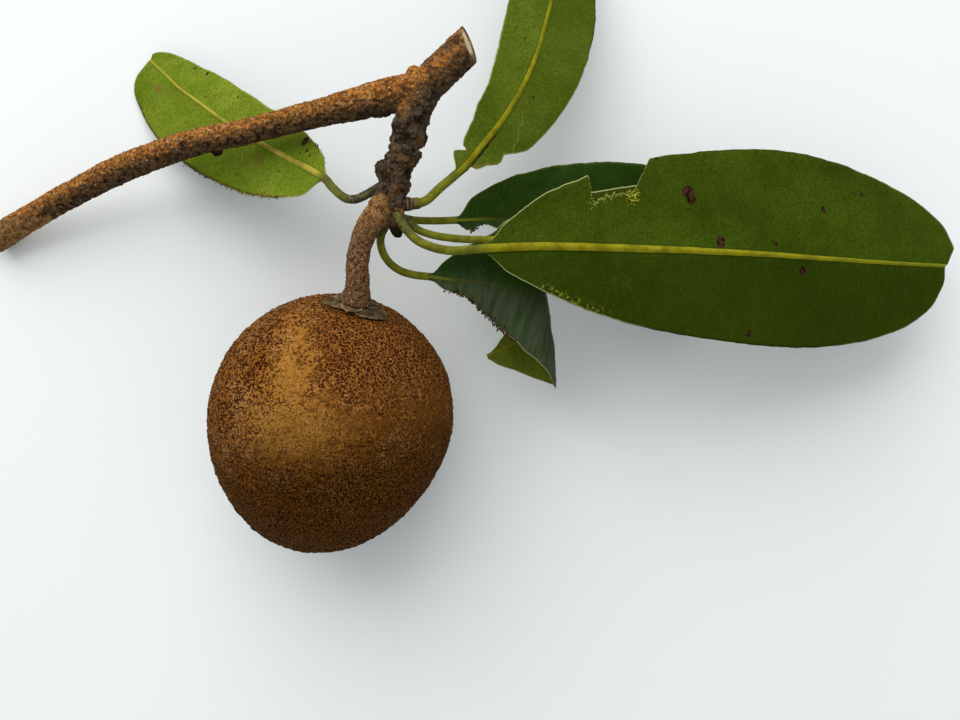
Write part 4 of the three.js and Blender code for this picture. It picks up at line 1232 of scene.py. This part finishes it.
def makeLeaf(name, given):
    leaf = {**leafCommon, **given}
    rows, stemRows, columns = leaf["rows"], leaf["stemRows"], leaf["columns"]
    if "flat" in leaf:
        sheetPath = [(p, q, 0) for p, q in leaf["flat"]]
        stemLength = pathLength(smoothPath(leaf["path"]))
        bladeLength = pathLength(smoothPath(sheetPath))
    else:
        stemLength = pathLength(smoothPath(leaf["path"][:leaf["stemPoints"]]))
        bladeLength = pathLength(smoothPath(leaf["path"])) - stemLength
    stemLength -= leaf["early"]
    bladeLength += leaf["early"]
    start = stemLength / (stemLength + bladeLength)
    leaf["brownEnd"] = leaf["footShare"] * stemLength - stemLength

    # s runs along the blade and stays 0 on the petiole, t runs along both
    crowding = 0.35      # how much closer rows lie near both ends, and columns near the edges
    s = np.r_[np.zeros(stemRows), (1 - np.cos(np.linspace(0, math.pi, rows))) / 2 * crowding
              + np.linspace(0, 1, rows) * (1 - crowding)]
    t = np.r_[np.linspace(0, start, stemRows, endpoint=False), start + s[stemRows:] * (1 - start)]
    widths = leafWidths(leaf, name, s, bladeLength)

    # one ring: left edge to right edge over the face that is up, and back below
    even = np.linspace(1, -1, columns)
    q = np.sin(even * math.pi / 2) * crowding + even * (1 - crowding)
    upAngle = math.pi / 2 - q * math.pi / 2 * 0.97      # 0.97 keeps the two faces apart
    ringQ = np.r_[q, q[::-1]][None, :]
    ringAngle = np.r_[upAngle, -upAngle[::-1]][None, :]
    upFace = np.r_[np.ones(columns), -np.ones(columns)][None, :]

    # the blade's section; the midrib stands out of its underside
    ridgeRadius = (leaf["ribRadius"] + (leaf["ridgeEnd"] - leaf["ribRadius"]) * s)[:, None]
    width = np.where(ringQ > 0, widths[0][:, None], widths[1][:, None])
    width = np.maximum(width, 1.3 * ridgeRadius)
    ridgeHalf = 1.25 * ridgeRadius
    size, ribShare = np.abs(ringQ), leaf["ribShare"]
    flatAcross = np.where(size < ribShare, ridgeHalf * size / ribShare,
                          ridgeHalf + (width - ridgeHalf) * (size - ribShare) / (1 - ribShare))
    ridge = np.clip(1 - (size / ribShare) ** 2, 0, 1)
    half = leaf["thickness"] / 2 * (1 - leaf["edgeThin"] * size ** 6)
    onRidgeFace = upFace * (1 if leaf["underUp"] else -1) > 0
    bladeOut = half + np.where(onRidgeFace, ridge * (ridgeRadius * 1.05 - half), -ridge * 0.15)

    # the petiole's round section, which turns into the blade's over the blade's first part
    foot = np.clip(1 - t / (start * leaf["footShare"]), 0, 1) ** 0.5
    stem = leaf["stemRadius"] + (leaf["footRadius"] - leaf["stemRadius"]) * foot
    ringWave = 260      # radians of the rings' wave in the whole leaf's length
    stem = (stem * (1 + leaf["ringDepth"] * np.sin(t * ringWave) * (foot > 0)))[:, None]
    blend = np.clip(1 - s / leaf["stemRun"], 0, 1)[:, None] ** 1.5
    across = np.sign(ringQ) * flatAcross * (1 - blend) + blend * stem * np.cos(ringAngle)
    out = upFace * bladeOut * (1 - blend) + blend * stem * np.sin(ringAngle)

    # cupping, waves and fine ripples move both faces alike
    edgeShare = np.clip(np.abs(across) / np.maximum(width, 1), 0, 1)
    cup = -math.tan(math.radians(leaf["cup"])) * np.abs(across) * np.clip(4 * s, 0, 1)[:, None]
    phase = 2 * math.pi * leaf["waves"] * s[:, None] + np.where(across > 0, 0, leaf["waveShift"])
    wave = leaf["waveHeight"] * edgeShare ** 2 * np.sin(phase) * np.clip(6 * s, 0, 1)[:, None]
    u = (s * bladeLength)[:, None] + 0 * across
    flatPlaces = np.stack([u, across, 0 * u], -1).reshape(-1, 3)
    ripple = sum(height * fractal(flatPlaces, *kind).reshape(across.shape) for height, kind in (
        (leaf["ripple"], (0.16, 3, 0.9, len(name) * 3.1)),
        (leaf["fineRipple"], (0.75, 2, 0.8, len(name) * 1.7))))
    out = out + cup + wave + ripple * (1 - blend) * np.clip(8 * s, 0, 1)[:, None]
    lobe = np.where(across > 0, *leaf["tipLobe"]) * edgeShare ** 2 * (
        s ** leaf["lobeRun"])[:, None]

    # laid along its path; the curled leaf's sheet is laid out flat first and then bent
    if "flat" in leaf:
        centre, side, normal, _ = alongPath(leaf["path"], t[:stemRows] / start)
        stemPlaces = (centre[:, None] + side[:, None] * across[:stemRows, :, None]
                      + normal[:, None] * out[:stemRows, :, None])
        middle, _, _, ahead = alongPath(sheetPath, s[stemRows:])
        wide, long = across[stemRows:], lobe[stemRows:]
        flatX = middle[:, 0:1] + wide * ahead[:, 1:2] + long * ahead[:, 0:1]
        flatY = middle[:, 1:2] - wide * ahead[:, 0:1] + long * ahead[:, 1:2]
        blade = rolledPlace(leaf["bend"], leaf["path"][-1], flatX, flatY, out[stemRows:])
        rings = np.concatenate([stemPlaces, blade])
    else:
        centre, side, normal, tangent = alongPath(leaf["path"], t)
        roll = math.radians(leaf["roll"])
        rings = (centre[:, None] + tangent[:, None] * lobe[..., None]
                 + side[:, None] * (across * math.cos(roll) - out * math.sin(roll))[..., None]
                 + normal[:, None] * (across * math.sin(roll) + out * math.cos(roll))[..., None])

    # materials: 0 on the underside, 1 on the upper side, 2 on the petiole
    around = 2 * columns
    points, faces = ringPoints(rings), ringFaces(stemRows + rows, around)
    upSlot = int(not leaf["underUp"])
    bladeSlots = [upSlot] * (columns - 1) + [1 - upSlot] * columns + [upSlot]
    slots = [2] * (stemRows - 1) * around + bladeSlots * rows + [2] * around + [0] * around
    materials = [makeUndersideMaterial(name, leaf), makeUpperMaterial(name, leaf),
                 makePetioleMaterial(name, leaf)]
    if leaf["crumbs"]:
        materials += [makeCrumbMaterial(name + "Crumbs", leaf["crumbDark"], leaf["crumbPale"]),
                      makeCrumbMaterial(name + "Fibres", leaf["fibreDark"], leaf["fibrePale"])]
    crumbPoints, crumbFaces, crumbSlots = makeCrumbs(leaf, rings, q, s, stemRows)
    faces += [tuple(len(points) + k for k in face) for face in crumbFaces]

    # the two layers that the materials read, see uvOf
    alongStem = ((t - start) / start * stemLength)[:, None] + 0 * u
    sheet = np.stack([np.where(s[:, None] > 0, u, alongStem), across], -1) * mm
    share = np.stack([s[:, None] + 0 * u, (1 - size) * width * mm], -1)
    layers = {key: np.vstack([ringPoints(values), np.zeros((len(crumbPoints), 2))])
              for key, values in (("sheet", sheet), ("share", share))}
    piece = meshPiece(name + "_blade", np.vstack([points, crumbPoints]) * mm, faces, materials,
                      slots + crumbSlots, layers)
    fixNormals(piece)
    place(piece, "leaf_underside" if leaf["underUp"] else "leaf_upper", name)


for leafName, leafGiven in leaves.items():
    makeLeaf(leafName, leafGiven)
    print("leaf made:", leafName)


# Floor

floorForm = {"side": 2.4, "drop": 0.0002}


def makeFloor():
    half = floorForm["side"] / 2
    corners = [(-half, -half), (half, -half), (half, half), (-half, half)]
    material, _, shader = newMaterial("paleFloor")
    shader.inputs["Base Color"].default_value = view["floorColour"]
    shader.inputs["Roughness"].default_value = 0.9
    shader.inputs["Specular IOR Level"].default_value = 0.1
    floor = meshPiece("floor", [(x, y, -floorForm["drop"]) for x, y in corners],
                      [(0, 1, 2, 3)], [material])


makeFloor()
print("floor laid")

print("pieces placed, finishing")
